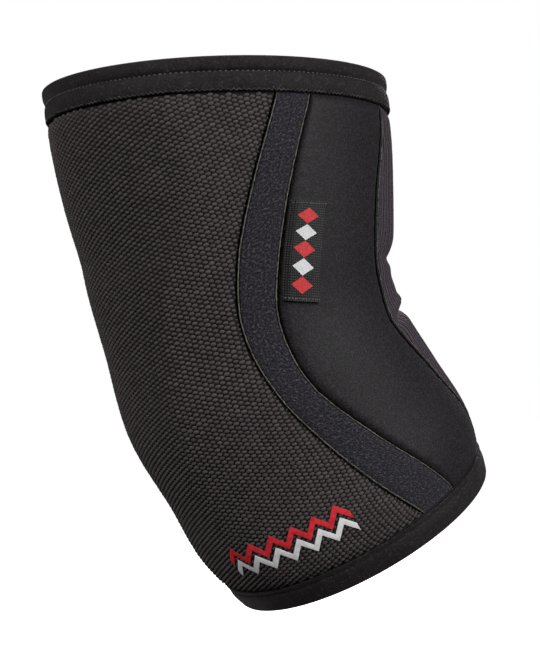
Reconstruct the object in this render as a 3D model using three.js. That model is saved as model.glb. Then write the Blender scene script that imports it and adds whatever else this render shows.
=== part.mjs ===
// A pull-on elbow brace: a neoprene sleeve sewn from six panels, bound at both ends, that keeps the
// bend of a relaxed elbow. Units are millimetres. The origin is the centre of the elbow, inside the
// hollow. +Z runs up the upper arm, +X points out of the crook of the elbow, and the forearm end
// leans towards +X. The near side, with the label, faces -Y, and the far side is its mirror image.

import * as THREE from 'three';

// Driving sizes: the run of the sleeve
const UPPER_LENGTH = 79; // elbow centre to the upper rim
const FOREARM_LENGTH = 84; // elbow centre to the forearm rim
const ELBOW_BEND = 29; // degrees that the forearm leans forward
const BEND_RADIUS = 80; // of the centre line, round the elbow

// Driving sizes: the sleeve from outside, front to back and side to side
const UPPER_WIDTH = 116;
const ELBOW_WIDTH = 101;
const FOREARM_WIDTH = 95;
const UPPER_DEPTH = 109;
const ELBOW_DEPTH = 94;
const FOREARM_DEPTH = 88;

// Driving sizes: the cloth
const WALL = 4.5; // neoprene with its two facings
const SEAM_GAP = 0.4; // between panels that are sewn edge to edge
const SEAM_DIP = 1.3; // how deep the panels' edges roll into a seam
const SEAM_ROLL = 2.6; // how wide that rolled edge is
const CREASE_DEPTH = 4; // of the deepest crease in the crook

// Driving sizes: the bindings
const UPPER_BINDING = 11; // height of the folded binding at the upper rim
const FOREARM_BINDING = 9; // height of the one at the forearm rim
const UPPER_TURN_IN = 9; // how far it reaches down the inside
const FOREARM_TURN_IN = 7;
const BINDING_CLOTH = 1; // thickness of its cloth
const BINDING_PUFF = 1.1; // how far its rolls stand over its stitched groove
const BINDING_CLEARANCE = 0.45; // between the binding and the wall that it folds over
const TUCK = 1.6; // how far the outer face of the wall is drawn in under the binding
const INNER_TUCK = 0.8; // and its inner face
const SHOULDER = 3.5; // how far the wall takes to swell out again

// Driving sizes: the label
const LABEL_LENGTH = 29;
const LABEL_WIDTH = 13;
const LABEL_THICKNESS = 1; // two leaves of woven ribbon
const LABEL_CLEARANCE = 0.35;
const LABEL_SEAM_GAP = 0.5; // from the seam to the label's sewn edge
const LABEL_AT = 0.36; // its middle, as a share of the sleeve's length
const LABEL_TILT = 8; // degrees that its ends drop from the seam

// Facets
const RING_SEGMENTS = 48;
const BODY_ROWS = 14;
const ROW_MERGE = 0.012; // rows closer than this share of the length become one
const LABEL_ROWS = 6;
const BACK_COLUMNS = 16;
const STRIP_COLUMNS = 2;
const SIDE_COLUMNS = 5;
const CROOK_COLUMNS = 11;

// The sleeve from rim to rim, at shares of its length. back, crook and side are shares of half the
// local width and depth. The three seams are degrees round from the middle of the crook.
const SECTIONS = [
  { at: 0.0, back: 1.11, crook: 0.85, side: 1.0, crookSeam: 47, sideSeam: 82, backSeam: 95 },
  { at: 0.12, back: 1.12, crook: 0.93, side: 1.015, crookSeam: 51, sideSeam: 90.5, backSeam: 103 },
  { at: 0.25, back: 1.09, crook: 0.97, side: 1.015, crookSeam: 57, sideSeam: 98, backSeam: 111.5 },
  { at: 0.38, back: 1.04, crook: 0.99, side: 1.01, crookSeam: 59, sideSeam: 104.5, backSeam: 119.5 },
  { at: 0.48, back: 1.0, crook: 1.0, side: 1.0, crookSeam: 57, sideSeam: 108.5, backSeam: 123 },
  { at: 0.6, back: 1.06, crook: 1.01, side: 1.03, crookSeam: 55, sideSeam: 103.5, backSeam: 116.5 },
  { at: 0.74, back: 1.05, crook: 1.075, side: 1.05, crookSeam: 46, sideSeam: 93.5, backSeam: 109.5 },
  { at: 0.87, back: 1.055, crook: 1.13, side: 1.07, crookSeam: 36, sideSeam: 81, backSeam: 99.5 },
  { at: 1.0, back: 0.95, crook: 1.05, side: 0.99, crookSeam: 28, sideSeam: 67, backSeam: 85 },
];

// Creases across the crook, at shares of the length. A negative depth is a bulge.
const CREASES = [
  { at: 0.385, reach: 0.03, depth: 0.75 },
  { at: 0.445, reach: 0.05, depth: 0.5 },
  { at: 0.56, reach: 0.02, depth: -0.25 },
  { at: 0.6, reach: 0.018, depth: 0.9 },
];

// The face of a folded binding: down is a share of its height from the rim, and puff a share of
// BINDING_PUFF. Where puff is 0 lies the stitched groove or the sewn edge.
const UPPER_BINDING_FACE = [
  { down: 1.0, puff: 0.0 },
  { down: 0.94, puff: 0.5 },
  { down: 0.8, puff: 0.75 },
  { down: 0.6, puff: 0.6 },
  { down: 0.44, puff: 0.0 },
  { down: 0.32, puff: 0.7 },
  { down: 0.17, puff: 0.95 },
  { down: 0.05, puff: 0.6 },
];
const FOREARM_BINDING_FACE = [
  { down: 1.0, puff: 0.0 },
  { down: 0.93, puff: 0.35 },
  { down: 0.8, puff: 0.1 },
  { down: 0.62, puff: 0.65 },
  { down: 0.35, puff: 1.0 },
  { down: 0.1, puff: 0.7 },
];

// Lengths that follow from the driving sizes
const BEND = THREE.MathUtils.degToRad(ELBOW_BEND);
const BEND_RUN = BEND_RADIUS * Math.tan(BEND / 2); // elbow centre to either end of the bend
const BEND_LENGTH = BEND_RADIUS * BEND;
const STRAIGHT_UPPER = UPPER_LENGTH - BEND_RUN;
const LENGTH = STRAIGHT_UPPER + BEND_LENGTH + FOREARM_LENGTH - BEND_RUN;
const WALL_RIM = BINDING_CLOTH + BINDING_CLEARANCE; // rim of the binding to rim of the wall

// The local width and depth of the sleeve, at the two rims and the middle of the elbow
const ELBOW_AT = (STRAIGHT_UPPER + BEND_LENGTH / 2) / LENGTH;
const GIRTHS = [
  { at: 0, width: UPPER_WIDTH, depth: UPPER_DEPTH },
  { at: ELBOW_AT, width: ELBOW_WIDTH, depth: ELBOW_DEPTH },
  { at: 1, width: FOREARM_WIDTH, depth: FOREARM_DEPTH },
];

// A smooth curve through one column of a table, level beyond its two ends
function smooth(table, column, at) {
  const last = table.length - 1;
  const share = THREE.MathUtils.clamp(at, table[0].at, table[last].at);
  let low = 0;
  while (low < last - 1 && share > table[low + 1].at) low += 1;
  const slope = (row) => {
    const before = table[Math.max(row - 1, 0)];
    const after = table[Math.min(row + 1, last)];
    return (after[column] - before[column]) / (after.at - before.at);
  };
  const span = table[low + 1].at - table[low].at;
  const s = (share - table[low].at) / span;
  const rise = s * s * (3 - 2 * s);
  const leave = s * (1 - s) * (1 - s) * span * slope(low);
  const arrive = s * s * (1 - s) * span * slope(low + 1);
  return THREE.MathUtils.lerp(table[low][column], table[low + 1][column], rise) + leave - arrive;
}

// The centre line: straight down the upper arm, round the elbow, straight down the forearm
function centreLine(at) {
  const run = at * LENGTH;
  const turned = THREE.MathUtils.clamp((run - STRAIGHT_UPPER) / BEND_RADIUS, 0, BEND);
  const before = Math.min(run, STRAIGHT_UPPER);
  const after = Math.max(run - STRAIGHT_UPPER - BEND_LENGTH, 0);
  return {
    x: BEND_RADIUS * (1 - Math.cos(turned)) + after * Math.sin(BEND),
    z: UPPER_LENGTH - before - BEND_RADIUS * Math.sin(turned) - after * Math.cos(BEND),
    lean: turned,
  };
}

// How deep the creases in the crook dent the wall
function creaseDepth(at, degrees) {
  const share = Math.min(Math.abs(degrees) / smooth(SECTIONS, 'crookSeam', at), 1);
  const fade = 1 - share ** 4;
  let depth = 0;
  for (const crease of CREASES) {
    depth += crease.depth * Math.exp(-(((at - crease.at) / crease.reach) ** 2));
  }
  return CREASE_DEPTH * depth * fade;
}

// Half the sleeve's size front to back and side to side, and how far its middle lies forward
function halfSizes(at) {
  const halfWidth = smooth(GIRTHS, 'width', at) / 2;
  const back = halfWidth * smooth(SECTIONS, 'back', at);
  const crook = halfWidth * smooth(SECTIONS, 'crook', at);
  const side = (smooth(GIRTHS, 'depth', at) / 2) * smooth(SECTIONS, 'side', at);
  return { long: (back + crook) / 2, side, forward: (crook - back) / 2 };
}

// The point at a share of the length, degrees round from the crook, that far under the outer face
function wallPoint(at, degrees, under) {
  const line = centreLine(at);
  const { long, side, forward } = halfSizes(at);
  const turn = THREE.MathUtils.degToRad(degrees);
  const normal = new THREE.Vector2(Math.cos(turn) / long, Math.sin(turn) / side).normalize();
  const sunk = under + creaseDepth(at, degrees);
  const out = forward + long * Math.cos(turn) - sunk * normal.x;
  const across = side * Math.sin(turn) - sunk * normal.y;
  return new THREE.Vector3(line.x + out * Math.cos(line.lean), -across, line.z + out * Math.sin(line.lean));
}

// Degrees round the sleeve that cover a length on its outer face
function degreesFor(at, length) {
  const { long, side } = halfSizes(at);
  return THREE.MathUtils.radToDeg(length / ((long + side) / 2));
}

// The distance from a share of the length to the nearer binding, negative under it
function pastBinding(at) {
  return Math.min(at * LENGTH - UPPER_BINDING, (1 - at) * LENGTH - FOREARM_BINDING);
}

// The share that the wall is drawn in: 1 under a binding, then swelling out again to 0
function drawnIn(at) {
  const swell = THREE.MathUtils.clamp(pastBinding(at) / SHOULDER, 0, 1);
  return 1 - Math.sqrt(1 - (1 - swell) ** 2);
}

// A closed solid from points and triangles, with its faces turned outwards
function solid(points, triangles) {
  let volume = 0;
  for (const [a, b, c] of triangles) {
    volume += points[a].dot(new THREE.Vector3().crossVectors(points[b], points[c]));
  }
  const faces = volume < 0 ? triangles.map(([a, b, c]) => [a, c, b]) : triangles;
  const geometry = new THREE.BufferGeometry().setFromPoints(points);
  geometry.setIndex(faces.flat());
  geometry.computeVertexNormals();
  return geometry;
}

// A solid between two sheets of points with the same rows and columns, closed round their edges
function slab(outer, inner) {
  const rows = outer.length;
  const columns = outer[0].length;
  const points = [...outer.flat(), ...inner.flat()];
  const top = (row, column) => row * columns + column;
  const bottom = (row, column) => rows * columns + row * columns + column;
  const triangles = [];
  const quad = (a, b, c, d) => triangles.push([a, b, c], [a, c, d]);
  for (let row = 0; row + 1 < rows; row += 1) {
    for (let column = 0; column + 1 < columns; column += 1) {
      quad(top(row, column), top(row, column + 1), top(row + 1, column + 1), top(row + 1, column));
      const across = bottom(row + 1, column + 1);
      quad(bottom(row, column), bottom(row + 1, column), across, bottom(row, column + 1));
    }
    quad(top(row, 0), top(row + 1, 0), bottom(row + 1, 0), bottom(row, 0));
    const end = columns - 1;
    quad(top(row + 1, end), top(row, end), bottom(row, end), bottom(row + 1, end));
  }
  for (let column = 0; column + 1 < columns; column += 1) {
    quad(top(0, column + 1), top(0, column), bottom(0, column), bottom(0, column + 1));
    const end = rows - 1;
    quad(top(end, column), top(end, column + 1), bottom(end, column + 1), bottom(end, column));
  }
  return solid(points, triangles);
}

// A closed ring: one section of points repeated round the sleeve
function ring(sections) {
  const steps = sections.length;
  const around = sections[0].length;
  const index = (step, point) => (step % steps) * around + (point % around);
  const triangles = [];
  for (let step = 0; step < steps; step += 1) {
    for (let point = 0; point < around; point += 1) {
      const a = index(step, point);
      const b = index(step, point + 1);
      const c = index(step + 1, point + 1);
      const d = index(step + 1, point);
      triangles.push([a, b, c], [a, c, d]);
    }
  }
  return solid(sections.flat(), triangles);
}

// Rows from a rim to the end of the shoulder beside its binding, as lengths from the rim
function rimRows(bindingHeight) {
  return [WALL_RIM, bindingHeight, bindingHeight + SHOULDER / 3, bindingHeight + SHOULDER];
}

// The panels' rows, as shares of the length: at each rim, at each crease and evenly between
function panelRows() {
  const upperRows = rimRows(UPPER_BINDING).map((run) => run / LENGTH);
  const forearmRows = rimRows(FOREARM_BINDING).map((run) => 1 - run / LENGTH).reverse();
  const from = upperRows.at(-1);
  const to = forearmRows[0];
  const wanted = [];
  for (const crease of CREASES) {
    wanted.push(crease.at - crease.reach, crease.at, crease.at + crease.reach);
  }
  for (let row = 1; row < BODY_ROWS; row += 1) {
    wanted.push(THREE.MathUtils.lerp(from, to, row / BODY_ROWS));
  }
  const kept = [];
  for (const at of wanted) {
    if (kept.every((other) => Math.abs(other - at) > ROW_MERGE)) kept.push(at);
  }
  kept.sort((a, b) => a - b);
  return [...upperRows, ...kept, ...forearmRows];
}

const PANEL_ROWS = panelRows();

// A panel between two seams, each given as degrees at a share of the length
function panel(lowSeam, highSeam, columns) {
  const outer = [];
  const inner = [];
  for (const at of PANEL_ROWS) {
    const low = lowSeam(at) + degreesFor(at, SEAM_GAP / 2);
    const high = highSeam(at) - degreesFor(at, SEAM_GAP / 2);
    const roll = degreesFor(at, SEAM_ROLL);
    const turns = [{ degrees: low, dip: SEAM_DIP }];
    for (let column = 0; column <= columns; column += 1) {
      turns.push({ degrees: THREE.MathUtils.lerp(low + roll, high - roll, column / columns), dip: 0 });
    }
    turns.push({ degrees: high, dip: SEAM_DIP });
    const drawn = drawnIn(at);
    outer.push(turns.map(({ degrees, dip }) => wallPoint(at, degrees, Math.max(dip, TUCK * drawn))));
    inner.push(turns.map(({ degrees }) => wallPoint(at, degrees, WALL - INNER_TUCK * drawn)));
  }
  return slab(outer, inner);
}

const crookSeam = (at) => smooth(SECTIONS, 'crookSeam', at);
const sideSeam = (at) => smooth(SECTIONS, 'sideSeam', at);
const backSeam = (at) => smooth(SECTIONS, 'backSeam', at);
const farSide = (seam) => (at) => -seam(at);
const wholeTurn = (seam) => (at) => 360 - seam(at);

// A binding folded over a rim: its face, over the rim, down the inside, and back along the wall
function binding(face, height, turnIn, share) {
  const legOuter = TUCK - BINDING_CLEARANCE;
  const legFace = legOuter - BINDING_CLOTH;
  const wallInside = WALL - INNER_TUCK + BINDING_CLEARANCE;
  const profile = [
    ...face.map(({ down, puff }) => ({ run: down * height, under: legFace - puff * BINDING_PUFF })),
    { run: 0, under: legFace + BINDING_CLOTH / 2 },
    { run: 0, under: wallInside },
    { run: BINDING_CLOTH / 2, under: wallInside + BINDING_CLOTH },
    { run: turnIn, under: wallInside + BINDING_CLOTH },
    { run: turnIn, under: wallInside },
    { run: BINDING_CLOTH, under: wallInside },
    { run: BINDING_CLOTH, under: legOuter },
    { run: height, under: legOuter },
  ];
  const sections = [];
  for (let step = 0; step < RING_SEGMENTS; step += 1) {
    const degrees = (360 * step) / RING_SEGMENTS;
    sections.push(profile.map(({ run, under }) => wallPoint(share(run), degrees, under)));
  }
  return ring(sections);
}

// The label: a folded ribbon whose long edge is sewn into the side seam, lying on the side panel
function label() {
  const turns = [LABEL_SEAM_GAP, SEAM_ROLL, (SEAM_ROLL + LABEL_WIDTH) / 2, LABEL_WIDTH];
  const outer = [];
  const inner = [];
  const drop = Math.tan(THREE.MathUtils.degToRad(LABEL_TILT));
  for (let row = 0; row <= LABEL_ROWS; row += 1) {
    const points = (lift) => turns.map((turn) => {
      const at = LABEL_AT + ((row / LABEL_ROWS - 0.5) * LABEL_LENGTH + turn * drop) / LENGTH;
      const dip = SEAM_DIP * Math.max(1 - turn / SEAM_ROLL, 0);
      return wallPoint(at, sideSeam(at) - degreesFor(at, turn), dip - lift);
    });
    outer.push(points(LABEL_CLEARANCE + LABEL_THICKNESS));
    inner.push(points(LABEL_CLEARANCE));
  }
  return slab(outer, inner);
}

// Materials
const cloth = (color, roughness) => new THREE.MeshStandardMaterial({ color, roughness, metalness: 0 });
const knit = cloth(0x353133, 0.9);
const plush = cloth(0x2b2a32, 0.95);
const smoothNeoprene = cloth(0x343434, 0.75);
const ribbed = cloth(0x36303a, 0.9);
const bindingCloth = cloth(0x262527, 0.85);
const ribbon = cloth(0x232323, 0.7);

// The pieces
const sleeve = new THREE.Group();
function add(name, geometry, material) {
  const mesh = new THREE.Mesh(geometry, material);
  mesh.name = name;
  sleeve.add(mesh);
}

const fromUpper = (run) => run / LENGTH;
const fromForearm = (run) => 1 - run / LENGTH;
const upperBinding = binding(UPPER_BINDING_FACE, UPPER_BINDING, UPPER_TURN_IN, fromUpper);
const forearmBinding = binding(FOREARM_BINDING_FACE, FOREARM_BINDING, FOREARM_TURN_IN, fromForearm);

add('back_panel', panel(backSeam, wholeTurn(backSeam), BACK_COLUMNS), knit);
add('side_strip_near', panel(sideSeam, backSeam, STRIP_COLUMNS), plush);
add('side_strip_far', panel(farSide(backSeam), farSide(sideSeam), STRIP_COLUMNS), plush);
add('side_panel_near', panel(crookSeam, sideSeam, SIDE_COLUMNS), smoothNeoprene);
add('side_panel_far', panel(farSide(sideSeam), farSide(crookSeam), SIDE_COLUMNS), smoothNeoprene);
add('crook_panel', panel(farSide(crookSeam), crookSeam, CROOK_COLUMNS), ribbed);
add('upper_binding', upperBinding, bindingCloth);
add('forearm_binding', forearmBinding, bindingCloth);
add('label', label(), ribbon);

export default sleeve;
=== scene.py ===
# %% [markdown]
# # A pull-on elbow brace
# The real sleeve is cut from neoprene, a rubber foam with a thin cloth glued to each face. Six panels
# are sewn edge to edge, and a folded binding closes each rim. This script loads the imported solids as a
# fixed frame, and makes a finer piece for each of them on the same surface, in its own cloth.

# %% Load the frame
import math

import bmesh
import bpy
import numpy as np
from mathutils import Matrix, Vector


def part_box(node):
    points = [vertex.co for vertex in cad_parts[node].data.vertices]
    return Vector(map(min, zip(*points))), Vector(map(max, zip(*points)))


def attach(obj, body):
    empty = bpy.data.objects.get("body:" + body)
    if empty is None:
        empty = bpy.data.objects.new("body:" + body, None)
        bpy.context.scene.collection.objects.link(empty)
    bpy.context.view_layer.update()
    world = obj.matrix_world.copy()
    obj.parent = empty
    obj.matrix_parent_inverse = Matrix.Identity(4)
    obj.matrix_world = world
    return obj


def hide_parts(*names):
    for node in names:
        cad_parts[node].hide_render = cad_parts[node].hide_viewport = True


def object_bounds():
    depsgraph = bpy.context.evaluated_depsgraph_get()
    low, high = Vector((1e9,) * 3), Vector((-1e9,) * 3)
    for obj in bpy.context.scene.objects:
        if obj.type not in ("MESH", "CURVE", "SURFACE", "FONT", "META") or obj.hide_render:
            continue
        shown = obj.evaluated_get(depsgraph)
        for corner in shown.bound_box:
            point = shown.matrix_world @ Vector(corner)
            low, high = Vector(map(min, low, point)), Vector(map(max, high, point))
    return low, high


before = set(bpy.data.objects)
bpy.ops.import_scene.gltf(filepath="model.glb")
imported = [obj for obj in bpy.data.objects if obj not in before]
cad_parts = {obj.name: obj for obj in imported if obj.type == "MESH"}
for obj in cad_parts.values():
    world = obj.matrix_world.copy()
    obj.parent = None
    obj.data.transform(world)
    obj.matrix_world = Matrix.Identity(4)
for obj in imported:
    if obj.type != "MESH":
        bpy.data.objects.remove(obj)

cad_box = [list(corner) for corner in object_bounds()]
print("nodes:", ", ".join(sorted(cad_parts)))
print("box in mm:", [[round(1000 * value) for value in corner] for corner in cad_box])

# %% [markdown]
# ## Sizes
# Blender works in metres, and cloth is cut in millimetres, so every length is written times MM. The
# sizes are those of the solids, because each piece has to lie where its solid lies. The short tables
# hold shares of these sizes, one row for each place along the sleeve. Four shapes are not those of the
# solids: they have no ridge, and here the crook's seams are deeper, its two upper creases are shallower
# and a little higher up, and the back is a little flatter at the elbow.

# %% Sizes of the sleeve
MM = 0.001
UPPER_LENGTH, FOREARM_LENGTH = 79 * MM, 84 * MM
ELBOW_BEND, BEND_RADIUS = 29, 80 * MM
WALL, SEAM_GAP, SEAM_ROLL = 4.5 * MM, 0.4 * MM, 2.6 * MM
SEAM_DIP, CROOK_DIP = 1.3 * MM, 2.9 * MM  # the crook's two seams are drawn in deeper
CREASE_DEPTH = 4 * MM
UPPER_BINDING, FOREARM_BINDING = 11 * MM, 9 * MM
TUCK, INNER_TUCK, SHOULDER = 1.6 * MM, 0.8 * MM, 3.5 * MM

BEND = math.radians(ELBOW_BEND)
BEND_RUN = BEND_RADIUS * math.tan(BEND / 2)
BEND_LENGTH = BEND_RADIUS * BEND
STRAIGHT_UPPER = UPPER_LENGTH - BEND_RUN
LENGTH = STRAIGHT_UPPER + BEND_LENGTH + FOREARM_LENGTH - BEND_RUN
ELBOW_AT = (STRAIGHT_UPPER + BEND_LENGTH / 2) / LENGTH


def table(columns, rows):
    """Named columns from rows of numbers."""
    return {name: np.array(values, float) for name, values in zip(columns, zip(*rows))}


# Outer sizes at the two rims and the elbow
GIRTHS = table(
    ("at", "width", "depth"),
    [(0, 116 * MM, 109 * MM), (ELBOW_AT, 101 * MM, 94 * MM), (1, 95 * MM, 88 * MM)],
)
# Shares of half the local width and depth, and the three seams in degrees round from the crook
SECTIONS = table(
    ("at", "back", "crook", "side", "crook_seam", "side_seam", "back_seam"),
    [
        (0.00, 1.11, 0.85, 1.0, 47, 82, 95),
        (0.12, 1.12, 0.93, 1.015, 51, 90.5, 103),
        (0.25, 1.09, 0.97, 1.015, 57, 98, 111.5),
        (0.38, 1.02, 0.99, 1.01, 59, 104.5, 119.5),
        (0.48, 0.99, 1.0, 1.0, 57, 108.5, 123),
        (0.60, 1.06, 1.01, 1.03, 55, 103.5, 116.5),
        (0.74, 1.05, 1.075, 1.05, 46, 93.5, 109.5),
        (0.87, 1.055, 1.13, 1.07, 36, 81, 99.5),
        (1.00, 0.95, 1.05, 0.99, 28, 67, 85),
    ],
)
# Creases across the crook, as shares of CREASE_DEPTH. A negative depth is a bulge.
CREASES = table(
    ("at", "reach", "depth"),
    [(0.375, 0.03, 0.6), (0.44, 0.05, 0.25), (0.56, 0.02, -0.25), (0.6, 0.018, 0.9)],
)
# A soft ridge down the near side of the back: its place in degrees, its height as a share of RIDGE_HEIGHT
RIDGE_HEIGHT, RIDGE_REACH, RIDGE_CREST = 3.5 * MM, 14 * MM, 3 * MM
RIDGE = table(
    ("at", "degrees", "height"),
    [
        (0.00, 133, 0.0),
        (0.10, 132, 0.8),
        (0.20, 129, 1.0),
        (0.30, 132, 1.0),
        (0.40, 143, 1.0),
        (0.50, 151, 1.0),
        (0.60, 157, 1.0),
        (0.75, 160, 1.0),
        (0.88, 155, 0.6),
        (1.00, 150, 0.0),
    ],
)
print(f"length along the middle: {LENGTH / MM:.1f} mm, elbow at {ELBOW_AT:.3f} of it")

# %% [markdown]
# ## The surface of the sleeve
# A worn sleeve is one smooth bent tube, so one rule serves all its pieces: an oval section slides down
# a bent centre line. A place on it has three numbers: `at`, the share of the way from the upper rim to
# the forearm rim, `degrees` round from the middle of the crook, and `under`, the depth below the outer
# face. Modelling by hand would be quicker for one panel, but its neighbours would not meet it.


# %% The surface of the sleeve
def smooth(rows, name, at):
    """A smooth curve through one column, level beyond its ends."""
    places, values = rows["at"], rows[name]
    last = len(places) - 1
    before = np.maximum(np.arange(last + 1) - 1, 0)
    after = np.minimum(np.arange(last + 1) + 1, last)
    slopes = (values[after] - values[before]) / (places[after] - places[before])
    share = np.clip(at, places[0], places[-1])
    low = np.clip(np.searchsorted(places, share) - 1, 0, last - 1)
    span = places[low + 1] - places[low]
    s = (share - places[low]) / span
    rise = s * s * (3 - 2 * s)
    leave = s * (1 - s) ** 2 * span * slopes[low]
    arrive = s * s * (1 - s) * span * slopes[low + 1]
    return values[low] + (values[low + 1] - values[low]) * rise + leave - arrive


def half_sizes(at):
    """Half the section front to back and side to side, and how far its middle lies forward."""
    half_width = smooth(GIRTHS, "width", at) / 2
    back = half_width * smooth(SECTIONS, "back", at)
    crook = half_width * smooth(SECTIONS, "crook", at)
    side = smooth(GIRTHS, "depth", at) / 2 * smooth(SECTIONS, "side", at)
    return (back + crook) / 2, side, (crook - back) / 2


def degrees_for(at, length):
    """Degrees round the sleeve that cover a length on its outer face."""
    long, side, _ = half_sizes(at)
    return np.degrees(length / ((long + side) / 2))


def crease_depth(at, degrees):
    """How deep the creases in the crook dent the wall."""
    share = np.minimum(np.abs(degrees) / smooth(SECTIONS, "crook_seam", at), 1)
    creases = zip(*CREASES.values())
    depth = sum(most * np.exp(-(((at - middle) / reach) ** 2)) for middle, reach, most in creases)
    return CREASE_DEPTH * depth * (1 - share**4)


def ridge_height(at, degrees):
    """How far the soft ridge lifts the wall."""
    away = (degrees - smooth(RIDGE, "degrees", at)) / degrees_for(at, 1)
    fallen = np.exp((RIDGE_CREST - np.hypot(away, RIDGE_CREST)) / RIDGE_REACH)
    return RIDGE_HEIGHT * smooth(RIDGE, "height", at) * fallen


def wall_point(at, degrees, under):
    """Places on the sleeve, in metres, with x, y and z along the last axis."""
    at, degrees, under = np.broadcast_arrays(at, degrees, under)
    turned = np.clip((at * LENGTH - STRAIGHT_UPPER) / BEND_RADIUS, 0, BEND)
    before = np.minimum(at * LENGTH, STRAIGHT_UPPER)
    after = np.maximum(at * LENGTH - STRAIGHT_UPPER - BEND_LENGTH, 0)
    line_x = BEND_RADIUS * (1 - np.cos(turned)) + after * math.sin(BEND)
    line_z = UPPER_LENGTH - before - BEND_RADIUS * np.sin(turned) - after * math.cos(BEND)
    long, side, forward = half_sizes(at)
    round_turn = np.radians(degrees)
    normal_out, normal_across = np.cos(round_turn) / long, np.sin(round_turn) / side
    size = np.hypot(normal_out, normal_across)
    sunk = under + crease_depth(at, (degrees + 180) % 360 - 180) - ridge_height(at, degrees)
    out = forward + long * np.cos(round_turn) - sunk * normal_out / size
    across = side * np.sin(round_turn) - sunk * normal_across / size
    return np.stack([line_x + out * np.cos(turned), -across, line_z + out * np.sin(turned)], axis=-1)


elbow_back, lowest = wall_point(ELBOW_AT, 180.0, 0.0)[0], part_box("back_panel")[0]
print(f"back of the elbow: {elbow_back / MM:.1f} mm, solid from {lowest.x / MM:.1f} mm")

# %% [markdown]
# ## Small helpers
# A mesh is made from a grid of points, and numpy fills it in one go. One function adds a node to a
# shader or a Geometry Nodes tree, and another turns what a tree makes into a plain mesh, because the
# export keeps no modifiers or instances.


# %% Meshes from grids
def grid_quads(rows, columns, start=0, wrap=False, flip=False):
    """The faces of a grid of points. wrap joins its last column to its first."""
    row = np.arange(rows - 1)[:, None]
    column = np.arange(columns if wrap else columns - 1)[None, :]
    following = (column + 1) % columns
    corners = [row * columns + column, row * columns + following]
    corners += [(row + 1) * columns + following, (row + 1) * columns + column]
    quads = np.stack(np.broadcast_arrays(*corners), axis=-1).reshape(-1, 4) + start
    return quads[:, ::-1] if flip else quads


def shell_faces(rows, columns):
    """The faces of a closed shell: an outer grid of points, an inner one, and the edge between them."""
    count = rows * columns
    faces = list(grid_quads(rows, columns)) + list(grid_quads(rows, columns, start=count, flip=True))
    index = np.arange(count).reshape(rows, columns)
    for edge, flip in ((index[:, 0], False), (index[:, -1], True), (index[0], True), (index[-1], False)):
        for a, b in zip(edge[:-1], edge[1:]):
            quad = (a, b, b + count, a + count)
            faces.append(quad[::-1] if flip else quad)
    return faces


def placed(name, data):
    """A new object in the scene."""
    made = bpy.data.objects.new(name, data)
    bpy.context.scene.collection.objects.link(made)
    return made


def mesh_object(name, points, faces, material=None, cloth=None, sharp_over=50):
    """A mesh as an object. cloth holds each point's place on the flat cloth, in metres."""
    mesh = bpy.data.meshes.new(name)
    points = np.asarray(points, float).reshape(-1, 3)
    mesh.from_pydata(points.tolist(), [], [list(map(int, face)) for face in faces])
    if cloth is not None:
        layer = mesh.uv_layers.new(name="cloth")
        loops = np.zeros(len(mesh.loops), np.int32)
        mesh.loops.foreach_get("vertex_index", loops)
        layer.data.foreach_set("uv", np.asarray(cloth, np.float32).reshape(-1, 2)[loops].ravel())
    mesh.polygons.foreach_set("use_smooth", np.ones(len(mesh.polygons), bool))
    mesh.set_sharp_from_angle(angle=math.radians(sharp_over))
    mesh.validate()
    if material:
        mesh.materials.append(material)
    return placed(name, mesh)


def triangles(piece):
    """How many triangles a mesh has."""
    return sum(len(face.vertices) - 2 for face in piece.data.polygons)


def counted(piece):
    """Prints how many triangles a piece has, and hands it on."""
    print(f"{piece.name}: {triangles(piece)} triangles")
    return piece


# %% Nodes and modifiers
def linear(hex_colour):
    """An sRGB colour such as "#2e2e2f" as linear red, green, blue and alpha."""
    shares = [int(hex_colour[i : i + 2], 16) / 255 for i in (1, 3, 5)]
    return [s / 12.92 if s <= 0.04045 else ((s + 0.055) / 1.055) ** 2.4 for s in shares] + [1.0]


def named(sockets, name):
    """The socket that is in use and has this name or this number."""
    shown = [socket for socket in sockets if socket.enabled]
    return shown[name] if isinstance(name, int) else next(s for s in shown if s.name == name)


def node(tree, kind, inputs=None, stops=(), **settings):
    """Adds a node. inputs gives values, or nodes and sockets to link. stops fills a colour ramp."""
    made = tree.nodes.new(kind)
    for name, value in settings.items():
        setattr(made, name, value)
    for name, value in (inputs or {}).items():
        value = named(value.outputs, 0) if isinstance(value, bpy.types.Node) else value
        if isinstance(value, bpy.types.NodeSocket):
            tree.links.new(value, named(made.inputs, name))
        else:
            named(made.inputs, name).default_value = value
    for number, (place, colour) in enumerate(stops):
        elements = made.color_ramp.elements
        element = elements[number] if number < 2 else elements.new(place)
        element.position, element.color = place, linear(colour)
    return made


def geometry_tree(name, **inputs):
    """A Geometry Nodes tree with the inputs named for each kind. Returns it and its inputs by name."""
    tree = bpy.data.node_groups.new(name, "GeometryNodeTree")
    tree.interface.new_socket("Geometry", in_out="OUTPUT", socket_type="NodeSocketGeometry")
    for kind, labels in {"Geometry": "Geometry", **inputs, "Int": "Seed", "Material": "Material"}.items():
        for label in labels.split():
            tree.interface.new_socket(label, in_out="INPUT", socket_type="NodeSocket" + kind)
    entry = tree.nodes.new("NodeGroupInput")
    return tree, {socket.name: socket for socket in entry.outputs if socket.name}


def end_tree(tree, geometry, material):
    """Ends a tree in Realize Instances and Set Material."""
    real = node(tree, "GeometryNodeRealizeInstances", {"Geometry": geometry})
    dressed = node(tree, "GeometryNodeSetMaterial", {"Geometry": real, "Material": material})
    node(tree, "NodeGroupOutput", {"Geometry": dressed})
    return tree


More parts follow.
